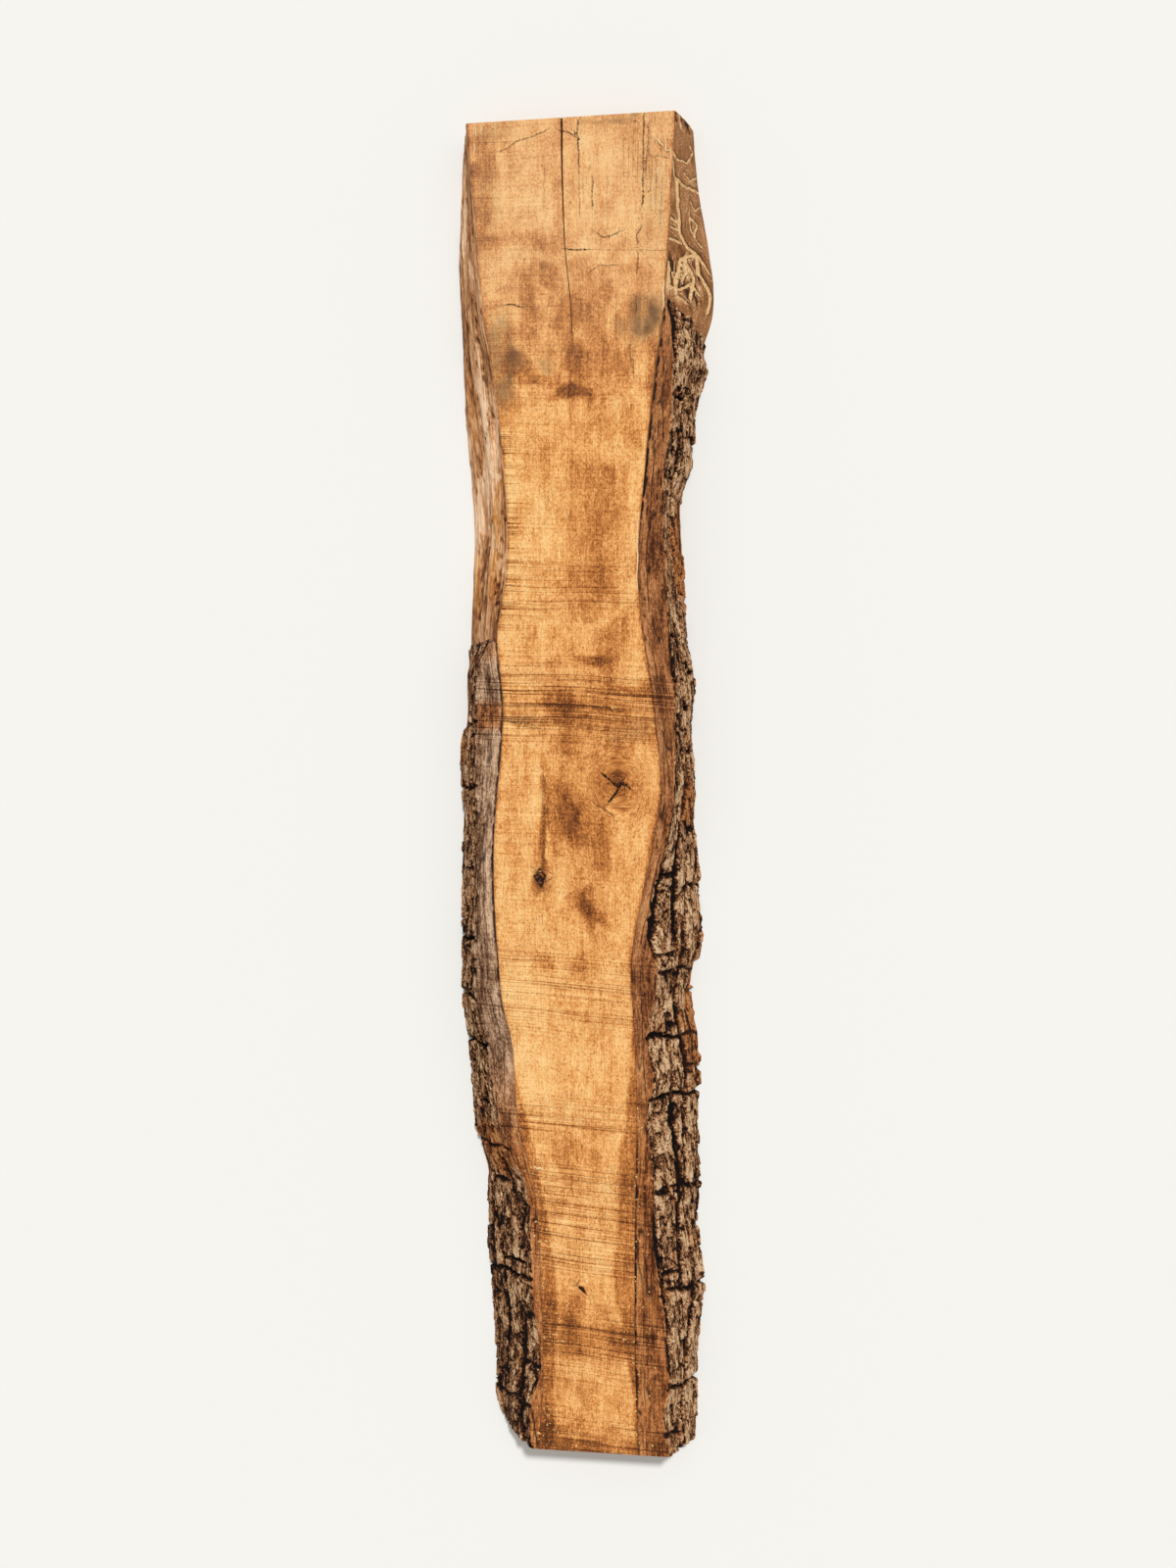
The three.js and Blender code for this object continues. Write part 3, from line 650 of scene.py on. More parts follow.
def dry_bare_wood(name, stops, patterns):
    """Bare wood, weathered dry: the colour follows the tone of each point, and noise stretched along the
    grain, (mm round the log, mm along it, 0, strength) each, adds fibres and grit. Freshly peeled strips are
    orange-brown, and galleries show as pale packed frass with a painted shadow along one side."""
    material, tree, shader = dry_surface(name, 0.85)
    girth = node(tree, "Attribute", output=1, attribute_name="girth")
    field = {key: node(tree, "Attribute", output=2, attribute_name=key)
             for key in ("tone", "line", "line_near", "warm")}
    made, tone, height = grained(
        tree, girth, patterns, (5.1, 2.7, 0), field["tone"], Detail=3.0, Roughness=0.62)
    colour = node(tree, "ValToRGB", {0: tone}, stops=stops)
    peeled = node(tree, "ValToRGB", {0: tone}, stops=[
        (0.1, "#522710"), (0.35, "#96561f"), (0.6, "#c98440"), (0.9, "#f0b673")])
    colour = node(tree, "Mix", {0: field["warm"], 6: colour, 7: peeled}, output=2, data_type="RGBA")
    # painted shadow along one side of each gallery, with pale packed frass inside it
    beside = node(tree, "Math", {0: field["line"], 1: 1.2}, operation="SUBTRACT")
    beside = node(tree, "Math", {0: beside}, operation="ABSOLUTE")
    gallery_shadow = node(tree, "MapRange", {0: beside, 1: 0.05, 2: 0.4, 3: 0.85, 4: 0.0})
    gallery_shadow = node(tree, "Math", {0: gallery_shadow, 1: field["line_near"]}, operation="MULTIPLY")
    colour = node(tree, "Mix", {0: gallery_shadow, 6: colour, 7: to_linear("#371d0c")}, output=2, data_type="RGBA")
    within = node(tree, "Math", {0: field["line"]}, operation="ABSOLUTE")
    frass = node(tree, "MapRange", {0: within, 1: 0.65, 2: 1.0, 3: 1.0, 4: 0.0})
    frass = node(tree, "Math", {0: frass, 1: field["line_near"]}, operation="MULTIPLY")
    packed = node(tree, "ValToRGB", {0: made["grit"]}, stops=[
        (0.3, "#b98650"), (0.5, "#dfb47c"), (0.68, "#f5d9a8")])
    colour = node(tree, "Mix", {0: frass, 6: colour, 7: packed}, output=2, data_type="RGBA")
    tree.links.new(colour, shader.inputs["Base Color"])
    bump = node(tree, "Bump", {"Height": height, "Strength": 0.8, "Distance": 0.002})
    tree.links.new(bump, shader.inputs["Normal"])
    return material


def chainsawn_end_grain():
    """Square-cut end grain, dry and dusty: growth rings round a pith below the back face, fine radial rays,
    and scratches left by the chain. Sizes here are in metres."""
    material, tree, shader = dry_surface("chainsawn_end_grain", 0.9)
    place = node(tree, "TexCoord", output=3)
    pith_below, ring, bend, fine = 0.153, 0.0055, 0.012, 160.0
    bent = node(tree, "TexNoise", {"Vector": place, "Scale": 18.0, "Detail": 3.0})
    centred = node(tree, "VectorMath", {0: place, 1: (0.0, 0.0, pith_below)}, operation="ADD")
    flat = node(tree, "VectorMath", {0: centred, 1: (1.0, 0.0, 1.0)}, operation="MULTIPLY")
    radius = node(tree, "VectorMath", {0: flat}, output=1, operation="LENGTH")
    radius = node(tree, "Math", {0: bent, 1: bend, 2: radius}, operation="MULTIPLY_ADD")
    rings = node(tree, "Math", {0: radius, 1: ring}, operation="DIVIDE")
    rings = node(tree, "Math", {0: rings}, operation="FRACT")
    outward = node(tree, "VectorMath", {0: flat}, operation="NORMALIZE")
    rays = node(tree, "TexNoise", {"Vector": outward, "Scale": fine, "Detail": 2.0})
    turned = node(tree, "Mapping", {"Vector": place, "Rotation": (0, 0.5, 0), "Scale": (25, 25, 420)})
    chain = node(tree, "TexNoise", {"Vector": turned, "Scale": 1.0, "Detail": 3.0})
    tone = node(tree, "Math", {0: rings, 1: -0.3, 2: -0.2}, operation="MULTIPLY_ADD")
    for pattern, strength in ((rays, 0.5), (chain, 0.5), (bent, 0.6)):
        tone = node(tree, "Math", {0: pattern, 1: strength, 2: tone}, operation="MULTIPLY_ADD")
    colour = node(tree, "ValToRGB", {0: tone}, stops=[
        (0.1, "#6d4322"), (0.35, "#a06a3a"), (0.6, "#c78f58"), (0.85, "#e0b27c")])

    # the drying check runs down the far end as a thin dark line of painted shade
    across, along, up = [node(tree, "SeparateXYZ", {0: place}, output=axis) for axis in range(3)]
    aside = node(tree, "Math", {0: bent, 1: 0.5 * bend, 2: across}, operation="MULTIPLY_ADD")
    aside = node(tree, "Math", {0: aside, 1: CHECK_LINE[0][1] * MM + 0.25 * bend}, operation="SUBTRACT")
    aside = node(tree, "Math", {0: aside}, operation="ABSOLUTE")
    crack = node(tree, "MapRange", {0: aside, 1: 0.0006, 2: 0.0018, 3: 1.0, 4: 0.0})
    check_bottom = (THICK - CHECK_DEPTH) * MM
    for where, low, high in ((up, check_bottom, check_bottom + 0.012), (along, 0.0, 0.01)):
        reach = node(tree, "MapRange", {0: where, 1: low, 2: high, 3: 0.0, 4: 1.0})
        crack = node(tree, "Math", {0: crack, 1: reach}, operation="MULTIPLY")
    colour = node(tree, "Mix", {0: crack, 6: colour, 7: to_linear("#1f1008")}, output=2, data_type="RGBA")
    tree.links.new(colour, shader.inputs["Base Color"])
    height = node(tree, "Math", {0: chain, 1: rings}, operation="ADD")
    bump = node(tree, "Bump", {"Height": height, "Strength": 0.6, "Distance": 0.0012})
    tree.links.new(bump, shader.inputs["Normal"])
    return material


galleried_edge = dry_bare_wood("galleried_bare_edge", [
    (0.05, "#3f230f"), (0.33, "#7d4e28"), (0.52, "#9b6840"), (0.75, "#c59162"), (1.0, "#efcd9c")],
    {"fibre": (3.0, 50, 0, 0.5), "patch": (14, 40, 0, 0.5), "grit": (2.2, 4, 0, 0.9)})
fibrous_edge = dry_bare_wood("fibrous_bare_edge", [
    (0.05, "#33180a"), (0.26, "#704120"), (0.48, "#b1784b"), (0.68, "#dea879"), (0.95, "#ffdab4")],
    {"fibre": (1.5, 60, 0, 1.0), "strand": (4.5, 160, 0, 0.7), "grit": (2.2, 10, 0, 0.7)})
wood = wood_slab([bandsawn_pecan(), galleried_edge, fibrous_edge, chainsawn_end_grain()])
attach(wood, "root")
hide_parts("wood")


# Torn fibres: thin pale strands that the blade has lifted from the wood and left lying on the face, still
# rooted in it. Long ones lie along the right edge, and short ones at both far corners and by the left bark.
FIBRES = [
    (1.3, [(95, 446), (93, 424), (92, 396), (93.5, 368), (91.5, 340), (92.5, 312)]),
    (1.2, [(93, 404), (91, 396), (92.5, 386)]),
    (1.4, [(136, 820), (134.5, 800), (135.5, 782), (133.5, 766)]),
    (1.2, [(118, 1064), (119, 1050), (117, 1036)]), (1.0, [(128, 1058), (129, 1048), (128, 1038)]),
    (1.2, [(138, 1052), (139, 1036), (138, 1022)]), (1.0, [(146, 1034), (147, 1022), (147, 1010)]),
    (1.0, [(134, 1012), (135, 1002), (134, 990)]), (1.1, [(126, 1004), (125, 994), (126, 984)]),
    (1.1, [(142, 988), (143, 976), (142, 962)]), (1.4, [(122, 1050), (129, 1041), (135, 1034)]),
    (1.2, [(136, 1030), (142, 1027), (147, 1029)]),
    (1.8, [(-77, -628), (-72, -631), (-66, -630), (-62, -634)]),
    (1.0, [(-176, 1088), (-174, 1078), (-175, 1066)]), (1.0, [(-166, 1089), (-165, 1080), (-167, 1070)]),
    (1.0, [(-178, 1058), (-176, 1048), (-177, 1036)]),
]


def lifted_fibres(material):
    """Round strands along drawn lines, thickest in the middle and pointed at both ends, with their undersides
    sunk in the face. Each is a grid: steps along the strand and steps round it."""
    steps, sides = 28, 7
    t = np.linspace(0, 1, steps + 1)[:, None]
    turn = np.linspace(0, 2 * np.pi, sides, endpoint=False)[None, :]
    points, quads, caps = [], [], []
    for k, (radius, line) in enumerate(FIBRES):
        places = np.array(line, float)
        reach = np.linspace(0, 1, len(places))
        x, y = np.interp(t, reach, places[:, 0]), np.interp(t, reach, places[:, 1])
        along_x, along_y = np.gradient(x[:, 0])[:, None], np.gradient(y[:, 0])[:, None]
        size = np.hypot(along_x, along_y)
        thick = radius * (0.12 + 0.88 * np.sin(np.pi * t) ** 0.6) * (1 + 0.25 * noise(9 * t, 0 * t + k, 61))
        wiggle = 0.8 * noise(7 * t, 0 * t + k, 62)
        sideways = thick * np.cos(turn) + wiggle
        rise = THICK - 0.4 + 0.8 * thick * np.sin(turn) + 0.5 * thick
        strand = np.stack([x - along_y / size * sideways, y + along_x / size * sideways, rise], axis=-1)
        first = k * (steps + 1) * sides
        strand_quads, strand_caps = ring_faces(steps + 1, sides)
        points.append(strand.reshape(-1, 3))
        quads.append(strand_quads[:, ::-1] + first)
        caps += [cap[::-1] + first for cap in strand_caps]
    points, quads = np.concatenate(points), np.concatenate(quads)
    fields = {"tone": np.full(len(points), 0.78), "girth": points * [1, 1, 0]}
    slots = np.zeros(len(quads) + len(caps))
    return mesh_object("torn_fibres", points, quads, caps, [material], slots, fields)


fibres = lifted_fibres(dry_bare_wood("torn_pale_fibre", [
    (0.2, "#a4703f"), (0.5, "#d9ab72"), (0.8, "#f3d3a0")],
    {"fibre": (1.5, 9, 0, 0.6), "grit": (2, 3, 0, 0.4)}))
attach(fibres, "root")


# Bark on the right edge: corky plates parted by deep furrows, grown on the log and sawn through with it,
# so that a smooth band of red-brown inner bark shows beside the wood. It has dropped off the far end,
# and it is parting from the wood in an open seam, painted dark as its shade, where it begins.
BARK_GIRTH = 84
BARK_GAP = 0.6
BARK_LEAST = 6
PLATE_PROUD = 6
PLATE_WIDTH = 26
PLATE_LENGTH = 130
PLATE_UNEVEN = 4
SCALE_WIDTH = 9
SCALE_LENGTH = 34
FURROW_DEPTH = 10
CRACK_DEPTH = 9
CRACK_HALF_WIDTH = 7
BROKEN_END = 45
THINNEST_SHARE = 0.45
BARK_ROW = 2.1
# A strip of bark: its outer edge on the front and back faces, as (y, x); where it ends on each face; the
# cracks right across it; bared and rusty patches, as (share round the edge, y, half share, half height);
# open seams beside the wood, as (start, end, width); and painted shade in the seam by the wood, as (y,
# strength).
RIGHT_BARK = {
    "front": [
        (800, 154), (600, 149), (490, 138), (300, 143), (150, 155), (0, 155), (-70, 149), (-180, 118),
        (-245, 112), (-300, 127), (-420, 111), (-480, 122), (-545, 110), (-620, 118), (-790, 126),
        (-900, 143), (-970, 147), (-1030, 138), (-1092, 146),
    ],
    "back": [
        (800, 210), (730, 207), (690, 206), (660, 196), (610, 185), (520, 178), (480, 163), (400, 165),
        (240, 171), (180, 182), (80, 178), (0, 185), (-60, 181), (-150, 190), (-245, 195), (-350, 178),
        (-420, 191), (-540, 189), (-670, 194), (-720, 188), (-840, 198), (-920, 190), (-1092, 182),
    ],
    "seam_shade": [
        (790, 1.0), (450, 1.0), (400, 0.3), (-300, 0.3), (-420, 0.1), (-560, 0.1), (-600, 0.9),
        (-1010, 0.9), (-1092, 0.4),
    ],
    "far": RIGHT_BARK_STARTS, "near": (-1092, -1092), "cracks": [-169, -305, -414, -511, -662, -830, -986],
    "bared": [(0.9, 424, 0.28, 50), (0.95, -316, 0.16, 22), (0.9, -418, 0.25, 38)],
    "seams": [(776, 440, 4.0), (-560, -1010, 1.4)], "seed": 11, "layer": 14, "shade": 0.0,
    "outer_shade": 0.13, "rusty": [(0.75, 385, 0.5, 95), (0.9, -400, 0.3, 90), (0.6, -30, 0.3, 40)],
}


def plate_cells(u, v, seed, jitter):
    """For a point of a jittered grid of cells: how much nearer its own cell's centre is than the next one,
    its cell's random number, and its place along the cell."""
    nearest, second = np.full(u.shape, 9.0), np.full(u.shape, 9.0)
    number, along = np.zeros_like(u), np.zeros_like(u)
    for step_i in (-1, 0, 1):
        for step_j in (-1, 0, 1):
            i, j = np.floor(u) + step_i, np.floor(v) + step_j
            du = i + 0.5 + jitter * (cell_random(i, j, seed) - 0.5) - u
            dv = j + 0.5 + jitter * (cell_random(i, j, seed + 5) - 0.5) - v
            distance = np.hypot(du, dv)
            closer = distance < nearest
            second = np.where(closer, nearest, np.minimum(second, distance))
            nearest = np.where(closer, distance, nearest)
            number = np.where(closer, cell_random(i, j, seed + 9), number)
            along = np.where(closer, -dv, along)
    return second - nearest, number, along


def bark_relief(across, y, seed, cracks):
    """Depth in mm below the plate tops, and lightness from about 0 in a furrow to 1, darkened in the hollows
    by painted shade and, in the furrows, by dirt. Long fissures wander along the grain and part the bark into
    columns, breaks cut each column into plates, and every plate is roughened into scales and ridges."""
    fray = 1.6 * noise(across / 6, y / 14, seed + 1) + 0.8 * noise(across / 2.5, y / 5, seed + 14, 2)
    u = (across + 5 * np.sin(y / 110 + seed) + 3 * np.sin(y / 47 + 2 * seed)) / PLATE_WIDTH
    first = np.floor(u)
    column, furrow = first - 2, np.zeros_like(u)
    for step in (-1, 0, 1, 2):
        k = first + step
        at = k + 0.5 * (cell_random(k, 0, seed) - 0.5) + 0.16 * np.sin(y / 58 + 2.3 * k + seed)
        column = column + (u > at)
        gape = 0.35 + 0.65 * ease(-0.6, 0.2, np.sin(y / 90 + 4.1 * k + seed))
        half = 1.8 + 3.4 * cell_random(k, 2, seed) * gape
        off = np.abs((u - at) * PLATE_WIDTH + fray)
        furrow = np.maximum(furrow, gape * ease(half + 0.9, 0.3 * half, off))
    v = y / PLATE_LENGTH + cell_random(column, 1, seed)
    plate = cell_random(column, np.floor(v), seed + 9)
    bound = np.round(v)
    from_break = np.abs(v - bound) * PLATE_LENGTH + fray + 2 * np.sin(across / 4 + bound)
    broken = ease(4.2, 1.0, np.abs(from_break)) * (cell_random(column, bound, seed + 13) > 0.3)
    crack = np.zeros_like(y)
    for at in cracks:
        off = np.abs(y - at - 3 * np.sin(across / 9 + at) + 1.3 * fray)
        strength = 0.55 + 0.45 * cell_random(at, 3, seed)
        crack = np.maximum(crack, ease(0.75 * CRACK_HALF_WIDTH, 0.8, off) * strength)
    bent = 3 * noise(across / 14, y / 40, seed + 3, 2) + fray
    gap, scale, along = plate_cells(
        (across + bent) / SCALE_WIDTH, (y + 2 * bent) / SCALE_LENGTH, seed + 20, 0.9)
    chip = ease(0.13, 0.02, gap)
    ridges = np.abs(noise(across / 4.5, y / 32, seed + 4, 3))
    ridges = ridges + 0.6 * np.abs(noise(across / 2.6, y / 8, seed + 5, 2))
    scales = 3.0 * scale + 2.0 * along + 1.8 * chip + 3.2 * ridges
    depth = np.maximum(FURROW_DEPTH * furrow, CRACK_DEPTH * np.maximum(crack, 0.7 * broken))
    depth = depth + PLATE_UNEVEN * plate
    # painted shade, with dirt in the furrows: the tone falls with depth and to near black in furrows, cracks,
    # breaks and round the scales
    dark = np.maximum(np.maximum(furrow, crack), np.maximum(0.9 * broken, 0.45 * chip))
    tone = 0.96 - 0.1 * scales - 0.8 * np.clip(dark, 0, 1) + 0.28 * noise(across / 18, y / 50, seed + 15)
    return depth + (1 - 0.5 * furrow) * scales - 1.8, tone


def bark_strip(name, out, wood_edge, bark, materials):
    """A strip of bark as rings round its section, one after another along the grain. Each ring runs down
    the outer side over the plates, in along the back face, up the wood and out along the front face."""
    rows = round((bark["far"][0] - bark["near"][0]) / BARK_ROW)
    outer_columns, inner_columns, back_columns, front_columns = 52, 8, 4, 14
    barked = rounded_edge(bark["front"], bark["back"])
    seed = bark["seed"]

    def at_row(s):
        far = bark["far"][0] + (bark["far"][1] - bark["far"][0]) * s + 6 * np.sin(19 * s)
        far = far + 5 * noise(s * 9, 0 * s + seed, 51)
        near = bark["near"][0] + (bark["near"][1] - bark["near"][0]) * s * s
        share = np.linspace(0, 1, rows + 1)[:, None]
        return far + (near - far) * share, far

    def inner_at(y, s):
        opening = np.zeros_like(y)
        for start, end, width in bark["seams"]:
            here = ease(0, 14, start - y) * np.clip((y - end) / (start - end), 0, 1)
            opening += width * here * (0.75 + 0.4 * noise(y / 30, 0 * y, seed + 6))
        return wood_edge(y, s) + out * (BARK_GAP + opening * (1 - s) ** 2)

    s_out = np.linspace(0, 1, outer_columns + 1)[None, :]
    y_out, far = at_row(s_out)
    thick = out * (barked(y_out, s_out) - inner_at(y_out, s_out)) + PLATE_PROUD * s_out
    thick = np.maximum(thick, BARK_LEAST)
    depth, tone = bark_relief(s_out * BARK_GIRTH, y_out, seed, bark["cracks"])

    def patches(spots, ragged, outer, inner):
        """1 inside ragged ellipses on the plates and 0 outside them, with a soft edge from inner to outer."""
        covered = np.zeros_like(y_out)
        for at_s, at_y, half_s, half_y in spots:
            away = np.hypot((s_out - at_s) / half_s, (y_out - at_y) / half_y)
            covered = np.maximum(covered, ease(outer, inner, away + ragged))
        return covered

    bared = patches(bark["bared"], 0.3 * noise(s_out * 8, y_out / 20, seed + 31), 1.1, 0.85)
    fresh = 8 + 1.5 * noise(s_out * 16, y_out / 60, seed + 32)
    fresh = fresh + 1.2 * np.abs(noise(s_out * 36, y_out / 24, seed + 33))
    depth = depth * (1 - bared) + np.minimum(fresh, 0.5 * thick) * bared
    depth = depth * (0.4 + 0.6 * ease(0, 0.12, s_out))
    broken = ease(BROKEN_END, 0, far - y_out)
    depth = np.minimum(depth + 0.5 * thick * broken, thick * (1 - 0.75 * THINNEST_SHARE))
    lateral = np.abs(barked(y_out, 1.0) - barked(y_out, 0.0))
    slope = np.arctan2(lateral, THICK) * np.minimum(1, 6 * s_out * (1 - s_out))
    x_out = inner_at(y_out, s_out) + out * (thick - depth * np.cos(slope))
    z_out = np.clip(THICK * (1 - s_out) - depth * np.sin(slope) * (1 - s_out), 0, THICK)

    s_in = np.linspace(1, 0, inner_columns + 1)[None, :]
    y_in, _ = at_row(s_in)
    x_in = inner_at(y_in, s_in)
    z_in = THICK * (1 - s_in) + 0 * x_in
    to_back = np.linspace(0, 1, back_columns + 1)[None, 1:-1]
    x_back = x_out[:, -1:] + (x_in[:, :1] - x_out[:, -1:]) * to_back
    to_front = np.linspace(0, 1, front_columns + 1)[None, 1:-1]
    x_front = x_in[:, -1:] + (x_out[:, :1] - x_in[:, -1:]) * to_front
    y_front = y_in[:, -1:] + (y_out[:, :1] - y_in[:, -1:]) * to_front
    sawn = 0.35 * noise(x_front / 5, y_front / 60, seed + 7) - 0.5
    splits = -2.2 * ease(0.06, 0.0, np.abs(noise(x_front / 16, y_front / 190, seed + 8, 2)))
    x = np.concatenate([x_out, x_back, x_in, x_front], axis=1)
    y = np.concatenate([y_out, y_out[:, -1:] + 0 * x_back, y_in, y_front], axis=1)
    z = np.concatenate([z_out, 0 * x_back, z_in, THICK + sawn + splits], axis=1)
    columns = [outer_columns + 1, back_columns - 1, inner_columns + 1, front_columns - 1]
    region = np.repeat([0, 1, 2, 3], columns)
    points = np.stack([x, y, z], axis=-1).reshape(-1, 3)

    def field(on_outer, on_front, elsewhere=0.0):
        """One number a point: given on the plates and on the sawn band, and the same elsewhere."""
        blank = elsewhere + 0 * x
        blank[:, :outer_columns + 1] = on_outer
        blank[:, region == 3] = on_front
        return blank

    from_wood = np.abs(x - inner_at(y, np.zeros((1, 1))))
    rust = np.maximum(bared, 0.5 * ease(0.3, 0.6, noise(s_out * 6, y_out / 36, seed + 30, 2)))
    rust = np.maximum(rust, patches(bark["rusty"], 0.5 * noise(s_out * 7, y_out / 26, seed + 34), 1.15, 0.75))
    past_layer = np.abs(x_front - x_in[:, -1:]) - bark["layer"]
    outside = ease(-3, 3, past_layer - 6 * noise(y_front / 70, 0 * y_front, seed + 10))
    band_tone = 0.48 + 0.14 * noise(x_front / 30, y_front / 40, seed + 9) - bark["outer_shade"] * outside
    # the left band is red-brown beside its first crack and at its far end
    reddened = ease(82, 98, y_front) * ease(142, 126, y_front) + 0.7 * ease(190, 225, y_front)
    reddened = reddened * (out < 0)
    band_tone = band_tone + 0.06 * ease(60, 80, y_front) * ease(180, 160, y_front) * (out < 0)
    girth = np.concatenate(
        [s_out + 0 * x_out, 1 + 0 * x_back, s_in + 0 * x_in, -0.3 * to_front + 0 * x_front], axis=1)
    # seam and split carry painted shade into the open seam beside the wood and the sunk splits of the sawn
    # band
    fields = {
        "strip": np.stack([girth * BARK_GIRTH, y, from_wood], axis=-1),
        "flow": np.stack([x, y, stroke_place(x, y)], axis=-1),
        "rough": 0.03 + 0.4 * np.clip(sawing(y), 0, 1),
        # the strip's shade darkens its plates as painted shade
        "tone": field(tone - bark["shade"], band_tone, 0.3), "seam": curve_through(bark["seam_shade"])(y),
        "rust": field(rust, 0.85 * reddened), "split": field(0.0, -0.4 * splits),
    }
    quads, caps = ring_faces(rows + 1, x.shape[1])
    column_slot = np.where(region == 0, 0, 1)
    column_slot[outer_columns] = 1
    slots = np.concatenate([np.tile(column_slot, rows), [1, 1]])
    if out < 0:
        quads, caps = quads[:, ::-1], [cap[::-1] for cap in caps]
    return mesh_object(name, points, quads, caps, materials, slots, fields)


def furrowed_bark():
    """Outer bark, dry cork in flaking scales: grey-tan on top, brown on the broken flanks, rusty where it is
    fresh, and nearly black down the furrows where dirt and shade gather."""
    material, tree, shader = dry_surface("furrowed_pecan_bark", 0.95)
    strip = node(tree, "Attribute", output=1, attribute_name="strip")
    field = {name: node(tree, "Attribute", output=2, attribute_name=name) for name in ("tone", "rust")}
    # each pattern is (mm round the log, mm along it, 0, strength)
    patterns = {"flakes": (4.2, 16, 0, 1.7), "threads": (2.0, 22, 0, 1.3), "grit": (1.5, 4, 0, 2.2),
                "patches": (12, 36, 0, 1.1)}
    _, tone, height = grained(tree, strip, patterns, (3.3, 8.9, 0), field["tone"], Detail=4.0, Roughness=0.65)
    weathered = node(tree, "ValToRGB", {0: tone}, stops=[
        (0.17, "#0d0502"), (0.34, "#36190c"), (0.46, "#6a3f22"), (0.58, "#925f38"), (0.73, "#b7855a"),
        (0.98, "#e8c49a")])
    fresh = node(tree, "ValToRGB", {0: tone}, stops=[
        (0.1, "#2c150a"), (0.35, "#75401d"), (0.6, "#a66332"), (0.9, "#cf935c")])
    colour = node(tree, "Mix", {0: field["rust"], 6: weathered, 7: fresh}, output=2, data_type="RGBA")
    tree.links.new(colour, shader.inputs["Base Color"])
    bump = node(tree, "Bump", {"Height": height, "Strength": 0.9, "Distance": 0.002})
    tree.links.new(bump, shader.inputs["Normal"])
    return material


def sawn_inner_bark(name, stops, layer_at):
    """Inner bark cut through by the saw: smooth stringy layers along the grain, crossed by strokes of the
    blade. It turns red-brown towards the near end and where the field called rust says so, and it has painted
    shade in the seam beside the wood and in its short splits, and a broken dark line between two layers."""
    material, tree, shader = dry_surface(name, 0.9)
    strip = node(tree, "Attribute", output=1, attribute_name="strip")
    field = {key: node(tree, "Attribute", output=2, attribute_name=key)
             for key in ("tone", "split", "seam", "rough", "rust")}
    along = node(tree, "SeparateXYZ", {0: strip}, output=1)
    from_wood = node(tree, "SeparateXYZ", {0: strip}, output=2)
    # each pattern is (0, mm along the grain, mm away from the wood, strength)
    made, tone, _ = grained(tree, strip, {
        "layers": (0, 60, 2.6, 1.1), "blotch": (0, 60, 18, 1.0), "grit": (0, 5, 2.4, 1.3),
        "wave": (0, 70, EVEN, 0), "gaps": (0, 26, EVEN, 0)}, (9.7, 0, 4.1), field["tone"],
        Detail=3.0, Roughness=0.62, Distortion=0.5)
    flow = node(tree, "Attribute", output=1, attribute_name="flow")
    sawn = node(tree, "Mapping", {"Vector": flow, "Scale": (1 / 300, 0.0, 1 / 1.8),
                                  "Location": (29.2, 12.4, 6.8)})
    cut = node(tree, "TexNoise", {"Vector": sawn, "Scale": 1.0, "Detail": 3.0, "Roughness": 0.6,
                                  "Distortion": 0.4})
    cut = node(tree, "MapRange", {0: cut, 1: 0.55, 2: 0.64, 3: 0.0, 4: 0.9})
    cut = node(tree, "Math", {0: cut, 1: field["rough"]}, operation="MULTIPLY")
    tone = node(tree, "Math", {0: tone, 1: cut}, operation="SUBTRACT")
    upper = node(tree, "ValToRGB", {0: tone}, stops=stops)
    lower = node(tree, "ValToRGB", {0: tone}, stops=[
        (0.05, "#4a240e"), (0.3, "#8c5027"), (0.55, "#bd7842"), (0.9, "#e2a56c")])
    turned = node(tree, "MapRange", {0: along, 1: -430.0, 2: -600.0, 3: 0.0, 4: 1.0})
    turned = node(tree, "Math", {0: turned, 1: field["rust"]}, operation="MAXIMUM")
    colour = node(tree, "Mix", {0: turned, 6: upper, 7: lower}, output=2, data_type="RGBA")

    # painted shade beside the wood and in the short splits, and a dark line between the two layers
    gaps = node(tree, "MapRange", {0: made["gaps"], 1: 0.42, 2: 0.52, 3: 0.15, 4: 1.0})
    ragged = node(tree, "Math", {0: made["gaps"], 1: -10.0, 2: from_wood}, operation="MULTIPLY_ADD")
    seam = node(tree, "MapRange", {0: ragged, 1: -2.9, 2: -1.1, 3: 1.0, 4: 0.0})
    seam = node(tree, "Math", {0: seam, 1: field["seam"]}, operation="MULTIPLY")
    breaks = node(tree, "MapRange", {0: made["gaps"], 1: 0.4, 2: 0.5, 3: 0.45, 4: 1.0})
    seam = node(tree, "Math", {0: seam, 1: breaks}, operation="MULTIPLY")
    wavy = node(tree, "Math", {0: made["wave"], 1: 12.0, 2: layer_at - 6.0}, operation="MULTIPLY_ADD")
    from_layer = node(tree, "Math", {0: from_wood, 1: wavy}, operation="SUBTRACT")
    from_layer = node(tree, "Math", {0: from_layer}, operation="ABSOLUTE")
    layer = node(tree, "MapRange", {0: from_layer, 1: 0.5, 2: 1.5, 3: 0.75, 4: 0.0})
    layer = node(tree, "Math", {0: layer, 1: gaps}, operation="MULTIPLY")
    dark = node(tree, "Math", {0: seam, 1: layer}, operation="MAXIMUM")
    dark = node(tree, "Math", {0: dark, 1: field["split"]}, operation="MAXIMUM")
    colour = node(tree, "Mix", {0: dark, 6: colour, 7: to_linear("#230f07")}, output=2, data_type="RGBA")
    tree.links.new(colour, shader.inputs["Base Color"])
    bump = node(tree, "Bump", {"Height": tone, "Strength": 0.8, "Distance": 0.0015})
    tree.links.new(bump, shader.inputs["Normal"])
    return material


